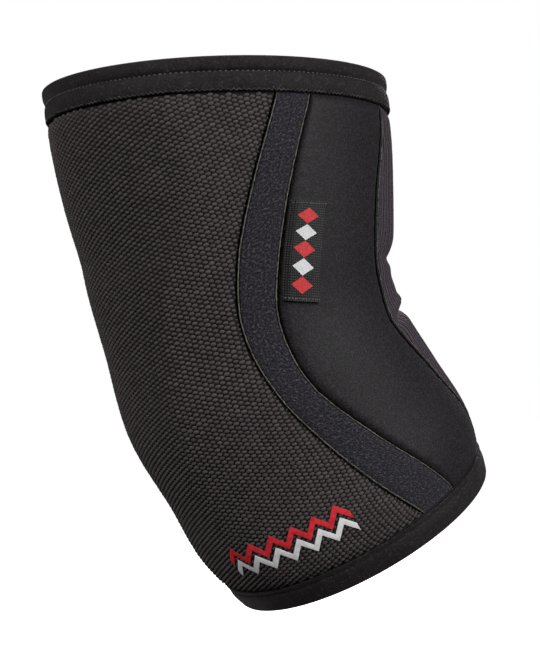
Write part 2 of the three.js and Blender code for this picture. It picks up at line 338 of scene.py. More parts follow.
def run_tree(host, tree, **values):
    """Runs a tree on an object and keeps the result as its plain mesh."""
    modifier = host.modifiers.new(tree.name, "NODES")
    modifier.node_group = tree
    sockets = {s.name: s for s in tree.interface.items_tree if s.in_out == "INPUT"}
    for label, value in values.items():
        modifier[sockets[label].identifier] = value
    depsgraph = bpy.context.evaluated_depsgraph_get()
    mesh = bpy.data.meshes.new_from_object(host.evaluated_get(depsgraph), depsgraph=depsgraph)
    host.modifiers.clear()
    host.data = mesh
    mesh.name = host.name
    return counted(host)


# %% [markdown]
# ## Materials
# Every cloth here is black or nearly black, so the eye tells them apart by their relief and sheen
# alone: a raised knit, a brushed loop, a smooth jersey, a ribbed knit, folded binding and thread. A
# plain dark colour with a bump would look like rubber, so each material starts from the structure of
# its cloth, at its real size or as much coarser as it has to be to show. Colours are in sRGB.


# %% What the cloths share
WAVE_TURN = math.tau / 20  # a wave texture of scale 1 repeats after this length
CLOTH_SPECULAR = 0.2  # fibres hide each other, so cloth reflects less than a film


def new_material(name, settings):
    """A material with values set on its shader's own sockets."""
    material = bpy.data.materials.new(name)
    material.use_nodes = True
    for socket, value in settings.items():
        material.node_tree.nodes["Principled BSDF"].inputs[socket].default_value = value
    return material


def cloth_material(name, roughness, sheen=0.0, sheen_tint="#ffffff", unrolled=False):
    """A cloth's material, its tree, and the places its patterns read: on the flat cloth if unrolled."""
    settings = {
        "Roughness": roughness, "IOR": 1.5, "Specular IOR Level": CLOTH_SPECULAR, "Sheen Weight": sheen,
        "Sheen Roughness": 0.5, "Sheen Tint": linear(sheen_tint),
    }
    material = new_material(name, settings)
    tree = material.node_tree
    if unrolled:
        return material, tree, named(node(tree, "ShaderNodeUVMap", uv_map="cloth").outputs, "UV")
    return material, tree, named(node(tree, "ShaderNodeTexCoord").outputs, "Object")


def washed(tree, place, base, size, stops, share, detail=3.0):
    """A colour with a share of larger, fainter patches, as dye and wear leave them."""
    patches = node(tree, "ShaderNodeTexNoise", {"Vector": place, "Scale": 1 / size, "Detail": detail})
    wash = node(tree, "ShaderNodeValToRGB", {"Fac": patches}, stops)
    return node(tree, "ShaderNodeMix", {"Factor": share, "A": base, "B": wash}, data_type="RGBA")


def finished(material, colour, height, depth, strength=1.0):
    """Gives a cloth its colour, and its weave as a fine relief."""
    tree = material.node_tree
    relief = node(tree, "ShaderNodeBump", {"Height": height, "Distance": depth, "Strength": strength})
    shader = tree.nodes["Principled BSDF"]
    tree.links.new(named(colour.outputs, 0), shader.inputs["Base Color"])
    tree.links.new(named(relief.outputs, 0), shader.inputs["Normal"])
    print("material:", material.name)
    return material


# %% Thread, cut edge and print
def yarn_material(name, dark, light, roughness=0.6, sheen=0.0, grain=0.4 * MM, depth=0.05 * MM):
    """A thread, cut edge or print of one colour, with its own fine unevenness."""
    material, tree, place = cloth_material(name, roughness, sheen)
    # Fibres and foam cells are 0.02 to 0.2 mm wide; drawn as a grain of 0.4 mm or more so that they show
    twist = node(tree, "ShaderNodeTexNoise", {"Vector": place, "Scale": 1 / grain, "Detail": 2.0})
    colour = node(tree, "ShaderNodeValToRGB", {"Fac": twist}, [(0.3, dark), (0.7, light)])
    return finished(material, colour, twist, depth)


FILM = {"roughness": 0.5, "grain": 1.5 * MM, "depth": 0.15 * MM}
CUT_EDGE = yarn_material("cut_neoprene_edge", "#3d3b35", "#7d7a70", roughness=0.8, grain=1.2 * MM)
THREAD = yarn_material("black_polyester_thread", "#0b0a0b", "#1d1c1e")
PALE_THREAD = yarn_material("grey_polyester_thread", "#4b4a4d", "#78787c")
EDGE_THREAD = yarn_material("dark_grey_polyester_thread", "#1f1d1d", "#5c5856", grain=2.5 * MM)
RED_YARN = yarn_material("red_damask_yarn", "#b3272a", "#e2474a", sheen=0.1)
WHITE_YARN = yarn_material("white_damask_yarn", "#c9c9cc", "#f0f0f2", sheen=0.1)
RED_PRINT = yarn_material("red_transfer_film", "#c92a31", "#ea3d45", **FILM)
WHITE_PRINT = yarn_material("white_transfer_film", "#e6e6e6", "#fbfbfb", **FILM)

# %% Raised knit
# The sunk ground between the stitches is a dark yarn, painted nearly black as the shade in the pits
# between the crowns
KNIT_YARN = {"roughness": 0.85, "grain": 0.6 * MM, "depth": 0.12 * MM}
SHADED_KNIT_GROUND = yarn_material("raised_knit_ground", "#120e0f", "#251f20", **KNIT_YARN)


def knit_crown_material():
    """Textured polyester yarn: matt, with fine fibres and a little light on each crown."""
    material, tree, place = cloth_material("raised_knit_crowns", 0.62, 0.12, "#cfc4c2")
    own = node(tree, "ShaderNodeAttribute", attribute_name="shade", attribute_type="GEOMETRY")
    stops = [(0.0, "#3a3435"), (0.55, "#433d3e"), (1.0, "#4f4849")]
    base = node(tree, "ShaderNodeValToRGB", {"Fac": named(own.outputs, "Fac")}, stops)
    # Fibres are 0.02 mm thick; drawn as bundles of 0.35 mm, because single ones don't show in the render
    fibre = node(tree, "ShaderNodeTexNoise", {"Vector": place, "Scale": 1 / (0.35 * MM), "Detail": 2.0})
    fleck = node(tree, "ShaderNodeValToRGB", {"Fac": fibre}, [(0.3, "#272223"), (0.7, "#605859")])
    colour = node(tree, "ShaderNodeMix", {"Factor": 0.35, "A": base, "B": fleck}, data_type="RGBA")
    return finished(material, colour, fibre, 0.06 * MM, strength=0.7)


CROWNS = knit_crown_material()


# %% Brushed strip
def plush_material():
    """Brushed nylon loop: a blue-black heather of short fibres, dull, with light grey flecks."""
    material, tree, place = cloth_material("brushed_nylon_loop", 0.9, 0.22, "#bcbac8", unrolled=True)
    # Loops stand about 0.5 mm apart; drawn at 0.75 mm, because finer ones don't show in the render
    inputs = {"Vector": place, "Scale": 1 / (0.75 * MM), "Randomness": 0.8}
    loops = named(node(tree, "ShaderNodeTexVoronoi", inputs).outputs, "Distance")
    inputs = {"Vector": place, "Scale": 1 / (0.8 * MM), "Detail": 3.0, "Roughness": 0.75}
    flecks = node(tree, "ShaderNodeTexNoise", inputs)
    stops = [(0.36, "#0b0a0e"), (0.48, "#1f1d23"), (0.58, "#3b3940"), (0.72, "#6d6b72")]
    base = node(tree, "ShaderNodeValToRGB", {"Fac": flecks}, stops)
    colour = washed(tree, place, base, 7 * MM, [(0.3, "#211f25"), (0.7, "#2f2c32")], 0.2, detail=2.0)
    height = node(tree, "ShaderNodeMath", {0: flecks, 1: loops}, operation="SUBTRACT")
    return finished(material, colour, height, 0.35 * MM)


PLUSH = plush_material()


# %% Smooth facing
def jersey_material():
    """Nylon jersey glued flat on neoprene: smooth and even, with a fine grain and a soft shine."""
    material, tree, place = cloth_material("nylon_jersey_on_neoprene", 0.58, 0.1, "#d8d8d8")
    # Wales lie 0.3 mm apart; drawn as a grain of 0.6 mm, the finest that shows in the render
    inputs = {"Vector": place, "Scale": 1 / (0.6 * MM), "Detail": 2.0, "Roughness": 0.6}
    grain = node(tree, "ShaderNodeTexNoise", inputs)
    stops = [(0.36, "#0a080a"), (0.5, "#191719"), (0.64, "#322d31")]
    base = node(tree, "ShaderNodeValToRGB", {"Fac": grain}, stops)
    colour = washed(tree, place, base, 14 * MM, [(0.3, "#151215"), (0.7, "#1f1b1f")], 0.3)
    return finished(material, colour, grain, 0.12 * MM)


JERSEY = jersey_material()


# %% Ribbed knit
def ribbed_material():
    """Fine ribbed nylon knit: a purple-grey yarn in thin columns, with painted shade darkening the hollows
    between them.
    """
    material, tree, place = cloth_material("ribbed_nylon_knit", 0.8, 0.1, "#d2c4d6", unrolled=True)
    # Columns of stitches lie 0.6 mm apart and rows 0.5 mm; drawn at 1.2 and 0.8 mm so that they show
    inputs = {"Vector": place, "Scale": WAVE_TURN / (1.2 * MM), "Distortion": 2.5, "Detail": 3.0}
    wales = node(tree, "ShaderNodeTexWave", inputs, bands_direction="X")
    inputs["Scale"] = WAVE_TURN / (0.8 * MM)
    rows = node(tree, "ShaderNodeTexWave", inputs, bands_direction="Y")
    soft = node(tree, "ShaderNodeMath", {0: rows, 1: 0.4, 2: 0.5}, operation="MULTIPLY_ADD")
    weave = node(tree, "ShaderNodeMath", {0: wales, 1: soft}, operation="MULTIPLY")
    yarn = node(tree, "ShaderNodeTexNoise", {"Vector": place, "Scale": 1 / (0.7 * MM), "Detail": 2.0})
    height = node(tree, "ShaderNodeMath", {0: weave, 1: yarn}, operation="ADD")
    # The colour follows the relief: the low places between the columns are painted darker, as shade
    stops = [(0.4, "#171317"), (0.75, "#2e282e"), (1.0, "#4b434a")]
    colour = node(tree, "ShaderNodeValToRGB", {"Fac": height}, stops)
    return finished(material, colour, height, 0.12 * MM)


RIBBED = ribbed_material()


# %% Folded binding
def binding_material():
    """Folded nylon binding: a close tricot, darker than the panels, with stray light fibres."""
    material, tree, place = cloth_material("folded_nylon_binding", 0.7, 0.14, "#d0c8c8")
    # Stitches lie about 0.4 mm apart; drawn as a grain of 0.7 mm, because finer ones don't show
    inputs = {"Vector": place, "Scale": 1 / (0.7 * MM), "Detail": 3.0, "Roughness": 0.7}
    grain = node(tree, "ShaderNodeTexNoise", inputs)
    stops = [(0.36, "#090707"), (0.5, "#171314"), (0.6, "#272224"), (0.7, "#544b4d")]
    base = node(tree, "ShaderNodeValToRGB", {"Fac": grain}, stops)
    colour = washed(tree, place, base, 4 * MM, [(0.35, "#0c0a0a"), (0.65, "#252021")], 0.35)
    return finished(material, colour, grain, 0.25 * MM)


BINDING = binding_material()


# %% Woven ribbon
def ribbon_material():
    """Damask ribbon: satin polyester, with the fine crossing of its warp and weft."""
    material, tree, place = cloth_material("damask_ribbon", 0.5, 0.05, unrolled=True)
    # 20 threads to the centimetre, each 0.5 mm wide, drawn at 0.7 mm so that they show
    inputs = {"Vector": place, "Scale": WAVE_TURN / (0.7 * MM), "Distortion": 0.4}
    warp = node(tree, "ShaderNodeTexWave", inputs, bands_direction="X")
    weft = node(tree, "ShaderNodeTexWave", inputs, bands_direction="Y")
    weave = node(tree, "ShaderNodeMath", {0: warp, 1: weft}, operation="MULTIPLY")
    uneven = node(tree, "ShaderNodeTexNoise", {"Vector": place, "Scale": 1 / (1.1 * MM), "Detail": 3.0})
    height = node(tree, "ShaderNodeMath", {0: weave, 1: uneven}, operation="MULTIPLY")
    # The colour follows the weave: the gaps between the threads are painted darker, as shade
    stops = [(0.03, "#131212"), (0.2, "#201f1f"), (0.5, "#434141")]
    colour = node(tree, "ShaderNodeValToRGB", {"Fac": height}, stops)
    return finished(material, colour, weave, 0.06 * MM)


RIBBON = ribbon_material()

# %% [markdown]
# ## Camera
# The sleeve is seen from behind its near side, a little from below. The camera is turned on its axis
# by a few degrees, as a hand-held one is, and its shift keeps the sleeve where it stands in the frame.
# It is made before the pieces.

# %% Camera
FRAME_WIDTH, FRAME_HEIGHT = 540, 648
CAMERA_AZIMUTH, CAMERA_ELEVATION, CAMERA_ROLL = -30, -3, -2.68
CAMERA_DISTANCE = 620 * MM
SENSOR, FOCAL_PIXELS = 36, 1860
ELBOW_PIXEL = (245, 323.2)  # where the elbow's centre lies in the frame


def compass(azimuth, elevation):
    """The direction from the elbow to a place round it. Azimuth 0 is on the near side."""
    a, e = math.radians(azimuth), math.radians(elevation)
    return Vector((math.sin(a) * math.cos(e), -math.cos(a) * math.cos(e), math.sin(e)))


def make_camera():
    """A camera at the viewing angle, with its roll and its framing."""
    back = compass(CAMERA_AZIMUTH, CAMERA_ELEVATION)
    level_right = Vector((0, 0, 1)).cross(back).normalized()
    level_up = back.cross(level_right)
    roll = math.radians(CAMERA_ROLL)
    right = math.cos(roll) * level_right + math.sin(roll) * level_up
    lens = bpy.data.cameras.new("camera")
    lens.sensor_width = SENSOR
    lens.lens = FOCAL_PIXELS * SENSOR / FRAME_HEIGHT
    lens.shift_x = (FRAME_WIDTH / 2 - ELBOW_PIXEL[0]) / FRAME_HEIGHT
    lens.shift_y = (ELBOW_PIXEL[1] - FRAME_HEIGHT / 2) / FRAME_HEIGHT
    camera = placed("camera", lens)
    axes = Matrix((right, back.cross(right), back)).transposed().to_4x4()
    camera.matrix_world = Matrix.Translation(back * CAMERA_DISTANCE) @ axes
    bpy.context.scene.camera = camera
    print(f"lens {lens.lens:.1f} mm, shift {lens.shift_x:.4f}, {lens.shift_y:.4f}")


make_camera()

# %% [markdown]
# ## Panels
# Each panel is a closed shell: an outer face, an inner face and the edge between them. The real edges
# are sewn, which rolls them down into the seam, so the outer face drops like a quarter circle over
# its last few millimetres. Thread pulls at the cloth with each stitch, so the rolled edge is slightly
# puckered. Under the bindings the foam is squeezed thinner. A Solidify modifier would give a wall, but
# not these edges, so both faces are laid out by the rule. The UV map `cloth` unrolls the face into
# metres of flat cloth, which gives every weave its real size.

# %% The outline of a panel
BINDING_CLOTH, BINDING_CLEARANCE = 1 * MM, 0.45 * MM
WALL_RIM = BINDING_CLOTH + BINDING_CLEARANCE
ROW_STEP = 1.15 * MM
PUCKER, PUCKER_LENGTH, PUCKER_REACH, PUCKER_WANDER = 0.16 * MM, 4.6 * MM, 2.2 * MM, 40
ROLLED_EDGE = np.array([0, 0.08, 0.2, 0.38, 0.62, 1])
SWELL_CURVE = 0.8  # below 1, the foam stays drawn in a little further past a binding


def seam(name, sign=1):
    """A seam's place in degrees, as a function of the place along the sleeve."""
    return lambda at: sign * smooth(SECTIONS, name, at)


def from_bindings(at):
    """How far a place lies past the nearer binding, less than 0 under it."""
    return np.minimum(at * LENGTH - UPPER_BINDING, (1 - at) * LENGTH - FOREARM_BINDING)


def drawn_in(at):
    """1 under a binding, then swelling out again to 0 over the shoulder."""
    swell = np.clip(from_bindings(at) / SHOULDER, 0, 1)
    return (1 - np.sqrt(1 - (1 - swell) ** 2)) ** SWELL_CURVE


def panel_places(low_seam, high_seam, columns, dips):
    """A panel's outer face: places along and round the sleeve, and depth. dips are its seams' depths."""
    run = LENGTH - 2 * WALL_RIM
    at = (WALL_RIM + run * np.linspace(0, 1, round(run / ROW_STEP) + 1)[:, None]) / LENGTH
    low = low_seam(at) + degrees_for(at, SEAM_GAP / 2)
    high = high_seam(at) - degrees_for(at, SEAM_GAP / 2)
    roll = degrees_for(at, SEAM_ROLL)
    middle = np.linspace(0, 1, columns + 1)[1:-1]
    inner = low + roll + (high - low - 2 * roll) * middle
    turns = [low + roll * ROLLED_EDGE, inner, high - roll * ROLLED_EDGE[::-1]]
    degrees = np.concatenate(turns, axis=1)
    from_seam = np.minimum(degrees - low, high - degrees) / degrees_for(at, 1)
    share = np.clip(from_seam / SEAM_ROLL, 0, 1)
    deepest = np.where(degrees - low < high - degrees, *dips)
    dip = deepest * (1 - np.sqrt(np.clip(1 - (1 - share) ** 2, 0, 1)))
    wave = np.sin(2 * np.pi * at * LENGTH / PUCKER_LENGTH + np.sin(at * PUCKER_WANDER))
    dip = dip + PUCKER * (1 + wave) * np.exp(-from_seam / PUCKER_REACH) * (1 - drawn_in(at))
    return at + 0 * degrees, degrees, np.maximum(dip, TUCK * drawn_in(at))


def panel_face(low_seam, high_seam, columns, dips=(SEAM_DIP, SEAM_DIP), origin=None):
    """A panel's outer face, with its places on the flat cloth: across from a line at origin, and along."""
    at, degrees, under = panel_places(low_seam, high_seam, columns, dips)
    start = low_seam(at[:, 0]) if origin is None else np.full(len(at), float(origin))
    points = wall_point(at, degrees, under)
    across = np.cumsum(np.linalg.norm(np.diff(points, axis=1, prepend=points[:, :1]), axis=2), axis=1)
    along = np.cumsum(np.linalg.norm(np.diff(points, axis=0, prepend=points[:1]), axis=2), axis=0)
    lines = zip(start, degrees, across)
    zero = np.array([np.interp(line, turn, reached) for line, turn, reached in lines])
    elbow_row = round(ELBOW_AT * (len(points) - 1))
    return at, degrees, under, np.stack([zero[:, None] - across, along - along[elbow_row]], axis=-1)


# %% A panel as a closed shell
def panel(name, material, low_seam, high_seam, columns, relief=None, **face):
    """A sewn panel between two seams. relief lifts its face, or sinks it, as between ribs."""
    at, degrees, under, flat = panel_face(low_seam, high_seam, columns, **face)
    if relief is not None:
        under = under - relief(at, flat[..., 0])
    outer = wall_point(at, degrees, under)
    inner = wall_point(at, degrees, WALL - INNER_TUCK * drawn_in(at))
    return counted(mesh_object(name, [outer, inner], shell_faces(*at.shape), material, [flat, flat]))


# %% [markdown]
# The crook panel is knitted in soft ribs that run along the sleeve, so its face rises and falls by half
# a millimetre. That is shape, not colour, so it goes into the mesh. Its two seams are drawn in deeper.

# %% Cut the six panels
RIB_PITCH, RIB_HEIGHT = 4.6 * MM, 0.6 * MM
BACK_COLUMNS, STRIP_COLUMNS, SIDE_COLUMNS, CROOK_COLUMNS = 96, 12, 40, 150


def ribs(at, across):
    """The hollows between the ribs, flattened under the bindings."""
    wave = 0.5 + 0.5 * np.cos(2 * np.pi * across / RIB_PITCH)
    return RIB_HEIGHT * (wave - 1) * (1 - drawn_in(at))


def whole_turn(at):
    """The back seam of the far side, counted on round the back."""
    return 360 - smooth(SECTIONS, "back_seam", at)


BACK = {"low_seam": seam("back_seam"), "high_seam": whole_turn, "columns": BACK_COLUMNS, "origin": 180}
back_panel = panel("knit_ground", SHADED_KNIT_GROUND, **BACK)
seams = seam("side_seam"), seam("back_seam")
strip_near = panel("brushed_strip_near", PLUSH, *seams, STRIP_COLUMNS)
seams = seam("back_seam", -1), seam("side_seam", -1)
strip_far = panel("brushed_strip_far", PLUSH, *seams, STRIP_COLUMNS)
seams, dips = (seam("crook_seam"), seam("side_seam")), (CROOK_DIP, SEAM_DIP)
side_near = panel("side_facing_near", JERSEY, *seams, SIDE_COLUMNS, dips=dips)
seams, dips = (seam("side_seam", -1), seam("crook_seam", -1)), (SEAM_DIP, CROOK_DIP)
side_far = panel("side_facing_far", JERSEY, *seams, SIDE_COLUMNS, dips=dips)
seams, dips = (seam("crook_seam", -1), seam("crook_seam")), (CROOK_DIP, CROOK_DIP)
crook = panel("ribbed_crook", RIBBED, *seams, CROOK_COLUMNS, relief=ribs, dips=dips, origin=0)

# %% [markdown]
# ## Raised knit
# The back panel's cloth is a knit with thousands of small crowns, about 1.8 mm apart, in columns that
# are offset by half a stitch. Noise in a bump map would lose them on the outline of the sleeve, and
# modelling them one by one isn't possible. So they are counted off on the flat cloth, and a Geometry
# Nodes tree looks up where each one lies on the panel and sets a low dome there. The grain of the cloth
# leans a little against the sleeve's own direction, because the panel is cut from one straight piece.

# %% One crown of the knit
CROWN_SIDES = 8
CROWN_RINGS = table(("width", "height"), [(1.0, -0.35), (0.86, 0.35), (0.48, 0.86)])


def crown_mesh():
    """A low dome, one wide and one high, closed underneath."""
    turn = 2 * np.pi * np.arange(CROWN_SIDES) / CROWN_SIDES
    points = [(0, 0, 1)]
    for width, height in zip(*CROWN_RINGS.values()):
        points += [(width * math.cos(t), width * math.sin(t), height) for t in turn]
    last = len(points) - CROWN_SIDES
    faces = [range(CROWN_SIDES, 0, -1)]
    faces += list(grid_quads(len(CROWN_RINGS["width"]), CROWN_SIDES, start=1, wrap=True))
    faces += [(last + i, last + (i + 1) % CROWN_SIDES, 0) for i in range(CROWN_SIDES)]
    return mesh_object("crown", points, faces, sharp_over=89)


# %% The tree that sets the crowns
BESIDE = 0.3 * MM  # how far off a second place is looked up, to find the cloth's direction
CROWN_CHANCE = {"Min": -0.12, "Max": 0.12}  # radians
SIZE_CHANCE = {"Min": 0.9, "Max": 1.08}


def standing(tree, normal, along):
    """The turn that stands a shape upright on the cloth and lays it along a direction."""
    upright = node(tree, "FunctionNodeAlignRotationToVector", {"Vector": normal}, axis="Z")
    inputs = {"Rotation": upright, "Vector": along}
    return node(tree, "FunctionNodeAlignRotationToVector", inputs, axis="X", pivot_axis="Z")


def shape_of(tree, chosen):
    """The geometry of an object that a tree is given."""
    return named(node(tree, "GeometryNodeObjectInfo", {"Object": chosen}).outputs, "Geometry")


def crown_tree():
    """Looks up places on the flat cloth, and sets a crown at each one that lies on the panel."""
    tree, given = geometry_tree("Set crowns", Object="Crown Places", Float="Length Width Height Tilt")
    position = node(tree, "GeometryNodeInputPosition")
    loose = node(tree, "GeometryNodeMeshToPoints", {"Mesh": shape_of(tree, given["Places"])})
    inputs = {"Geometry": loose, "Name": "place", "Value": position}
    kept = node(tree, "GeometryNodeStoreNamedAttribute", inputs, data_type="FLOAT_VECTOR", domain="POINT")

    # Where a place on the cloth lies on the panel, which way it faces, and the room it has
    place, cloth = (
        node(tree, "GeometryNodeInputNamedAttribute", {"Name": name}, data_type="FLOAT_VECTOR")
        for name in ("place", "cloth")
    )
    room = node(tree, "GeometryNodeInputNamedAttribute", {"Name": "room"}, data_type="FLOAT")
    beside = node(tree, "ShaderNodeVectorMath", {0: place, 1: (BESIDE, 0, 0)}, operation="ADD")
    panel_at = {"Mesh": given["Geometry"], "UV Map": cloth, "Value": position, "Sample UV": place}
    faces_out = node(tree, "GeometryNodeInputNormal")
    here, there, facing = (
        node(tree, "GeometryNodeSampleUVSurface", {**panel_at, **change}, data_type="FLOAT_VECTOR")
        for change in ({}, {"Sample UV": beside}, {"Value": faces_out})
    )
    near = node(tree, "GeometryNodeSampleUVSurface", {**panel_at, "Value": room}, data_type="FLOAT")
    inputs = {number: named(found.outputs, "Is Valid") for number, found in enumerate((here, there))}
    missed = node(tree, "FunctionNodeBooleanMath", inputs, operation="NAND")
    inputs = {"Geometry": kept, "Selection": missed}
    trimmed = node(tree, "GeometryNodeDeleteGeometry", inputs, domain="POINT")
    laid = node(tree, "GeometryNodeSetPosition", {"Geometry": trimmed, "Position": here})

    # Each crown stands upright on the cloth, turned along it, with a little chance in turn and size
    across = node(tree, "ShaderNodeVectorMath", {0: there, 1: here}, operation="SUBTRACT")
    inputs = {**CROWN_CHANCE, "Seed": given["Seed"]}
    chance = node(tree, "FunctionNodeRandomValue", inputs, data_type="FLOAT")
    tilt = node(tree, "ShaderNodeMath", {0: given["Tilt"], 1: chance}, operation="ADD")
    swing = node(tree, "ShaderNodeCombineXYZ", {"Z": tilt})
    spin = node(tree, "FunctionNodeEulerToRotation", {0: swing})
    inputs = {"Rotation": standing(tree, facing, across), "Rotate By": spin}
    turned = node(tree, "FunctionNodeRotateRotation", inputs, rotation_space="LOCAL")
    inputs = {"X": given["Length"], "Y": given["Width"], "Z": given["Height"]}
    size = node(tree, "ShaderNodeCombineXYZ", inputs)
    inputs = {**SIZE_CHANCE, "ID": node(tree, "GeometryNodeInputIndex"), "Seed": given["Seed"]}
    vary = node(tree, "FunctionNodeRandomValue", inputs, data_type="FLOAT")
    for share in (vary, near):
        size = node(tree, "ShaderNodeVectorMath", {0: size, "Scale": share}, operation="SCALE")

    crown = shape_of(tree, given["Crown"])
    inputs = {"Points": laid, "Instance": crown, "Rotation": turned, "Scale": size}
    set_down = node(tree, "GeometryNodeInstanceOnPoints", inputs)
    shade = node(tree, "FunctionNodeRandomValue", {"Min": 0.0, "Max": 1.0}, data_type="FLOAT")
    inputs = {"Geometry": set_down, "Name": "shade", "Value": shade}
    shaded = node(tree, "GeometryNodeStoreNamedAttribute", inputs, data_type="FLOAT", domain="INSTANCE")
    return end_tree(tree, shaded, given["Material"])


# %% Set the crowns on the back panel
KNIT_ACROSS, KNIT_PITCH = 1.84 * MM, 1.55 * MM
KNIT_COLUMNS, KNIT_ROWS = 120, 80
CROWN_SIZE = {"Length": 1.08 * MM, "Width": 0.7 * MM, "Height": 0.5 * MM, "Tilt": 0.12}
CROWN_ROOM, LEAST_ROOM = 1.3 * MM, 0.55  # crowns nearer to a seam are smaller, down to this share
CROWN_PAST_SEAM, CROWN_FROM_BINDING = 1 * MM, 0.05 * MM
# How far the columns lean at the end of each run, as they would on straight cloth
UPPER_LEAN, FOREARM_LEAN, LEAN_RUN = 0.24, -0.05, 85 * MM


def knit_surface(name):
    """The part of the back panel's face that carries crowns, as an open sheet."""
    at, degrees, under, flat = panel_face(**BACK)
    low, high = seam("back_seam")(at), whole_turn(at)
    from_seam = np.minimum(degrees - low, high - degrees) / degrees_for(at, 1)
    clear = (from_seam > -CROWN_PAST_SEAM) & (from_bindings(at) > CROWN_FROM_BINDING)
    quads = grid_quads(*at.shape)
    kept = quads[clear.ravel()[quads].all(axis=1)]
    made = mesh_object(name, wall_point(at, degrees, under), kept, cloth=flat)
    room = made.data.attributes.new("room", "FLOAT", "POINT")
    shares = np.clip(from_seam / CROWN_ROOM, LEAST_ROOM, 1)
    room.data.foreach_set("value", shares.astype(np.float32).ravel())
    return made


def stitch_places(first_row):
    """Places on the flat cloth as loose points, in columns offset by half a stitch."""
    column, row = np.meshgrid(np.arange(KNIT_COLUMNS), np.arange(KNIT_ROWS) + first_row)
    along = (row + 0.5 * (column % 2)) * KNIT_PITCH
    lean = np.where(along < 0, -UPPER_LEAN, FOREARM_LEAN) * along**2 / (2 * LEAN_RUN)
    across = (column - KNIT_COLUMNS / 2) * KNIT_ACROSS + lean
    return mesh_object("stitch_places", np.stack([across, along, 0 * along], axis=-1), [])


crown, CROWN_TREE = crown_mesh(), crown_tree()


def set_crowns(name, first_row, seed):
    """The crowns of the rows above or below the elbow, each half its own piece."""
    places = stitch_places(first_row)
    given = {"Crown": crown, "Places": places, "Seed": seed, "Material": CROWNS, **CROWN_SIZE}
    made = run_tree(knit_surface(name), CROWN_TREE, **given)
    bpy.data.objects.remove(places)
    return made


crowns_upper = set_crowns("knit_crowns_upper", -KNIT_ROWS, 7)
crowns_lower = set_crowns("knit_crowns_lower", 0, 17)
print("crowns:", (triangles(crowns_upper) + triangles(crowns_lower)) // triangles(crown))
bpy.data.objects.remove(crown)

# %% [markdown]
# ## Bindings
# A binding is a strip of cloth folded over the raw rim and sewn through. Where the thread pulls it
# down it makes a groove, and it puffs out in rolls on either side. A bevelled curve would twist on the
# oval rim, so a ring of one section follows the surface instead. The section is drawn as a path: up
# the outer face over its rolls, round the rim, down the inside, and back along the wall it folds over.

# %% Binding sections
BINDING_PUFF = 1.1 * MM
UPPER_TURN_IN, FOREARM_TURN_IN = 9 * MM, 7 * MM
LEG_OUTER = TUCK - BINDING_CLEARANCE
LEG_FACE = LEG_OUTER - BINDING_CLOTH
WALL_INSIDE = WALL - INNER_TUCK + BINDING_CLEARANCE
FACE_TOP = 0.08  # the share of its height at which the face turns over the rim
ROLL_FLATNESS, ROLL_STEEPNESS = 2.6, 0.55  # a roll is a little fuller than a half circle
# Rolls between two places down the binding's face, as shares of its height and of BINDING_PUFF
UPPER_ROLLS = table(("top", "foot", "puff"), [(-0.1, 0.435, 0.95), (0.47, 1.02, 0.78)])
FOREARM_ROLLS = table(("top", "foot", "puff"), [(-0.15, 0.82, 0.98), (0.82, 1.02, 0.42)])


def face_depth(rolls, down):
    """The depth of a binding's face at a share of its height: its rolls stand out from the leg."""
    down = np.asarray(down, float)
    out = np.zeros_like(down)
    for top, foot, most in zip(*rolls.values()):
        share = np.abs(2 * (down - top) / (foot - top) - 1)
        roll = most * np.clip(1 - share**ROLL_FLATNESS, 0, 1) ** ROLL_STEEPNESS
        out = np.maximum(out, np.where(share <= 1, roll, 0))
    return LEG_FACE - out * BINDING_PUFF


def binding_section(rolls, height, turn_in):
    """The section as (run from the rim, depth) pairs, and where the face ends."""
    groove, foot = np.linspace(0.485, 0.42, 6), np.linspace(1, 0.5, 16)
    down = np.concatenate([foot, groove, np.linspace(0.4, FACE_TOP, 13)])
    face = np.stack([down * height, face_depth(rolls, down)], axis=1)
    start, end = face[-1], np.array([FACE_TOP * height, WALL_INSIDE + BINDING_CLOTH])
    turn = np.linspace(0, np.pi, 12)[1:-1]
    rise = start[1] + (end[1] - start[1]) * (1 - np.cos(turn)) / 2
    over = np.stack([start[0] * (1 - np.sin(turn)), rise], axis=1)
    inside = [(run, WALL_INSIDE + BINDING_CLOTH) for run in np.linspace(end[0], turn_in - 0.4 * MM, 6)]
    hem = [(turn_in, WALL_INSIDE + share * BINDING_CLOTH) for share in (0.6, 0.2)]
    back = [(turn_in - 0.3 * MM, WALL_INSIDE), (BINDING_CLOTH, WALL_INSIDE), (BINDING_CLOTH, LEG_OUTER)]
    return np.concatenate([face, over, inside, hem, back, [(height, LEG_OUTER)]]), len(face)


# %% Fold the two bindings
RING_STEPS = 360
STITCH_PITCH = 1.7 * MM
GATHER, SLACK = 0.045 * MM, 0.05 * MM  # small folds at the stitches, and slow waves between them
GATHER_SWELLS, SLACK_WAVES, SLACK_RIPPLES = 17, 9, 23  # times round the rim
RIPPLE_SHARE, RIPPLE_SLANT = 0.6, 900  # the slant is in radians for each metre down the face
FACE_FOOT = 0.97  # the share of the height down to which the face is lifted


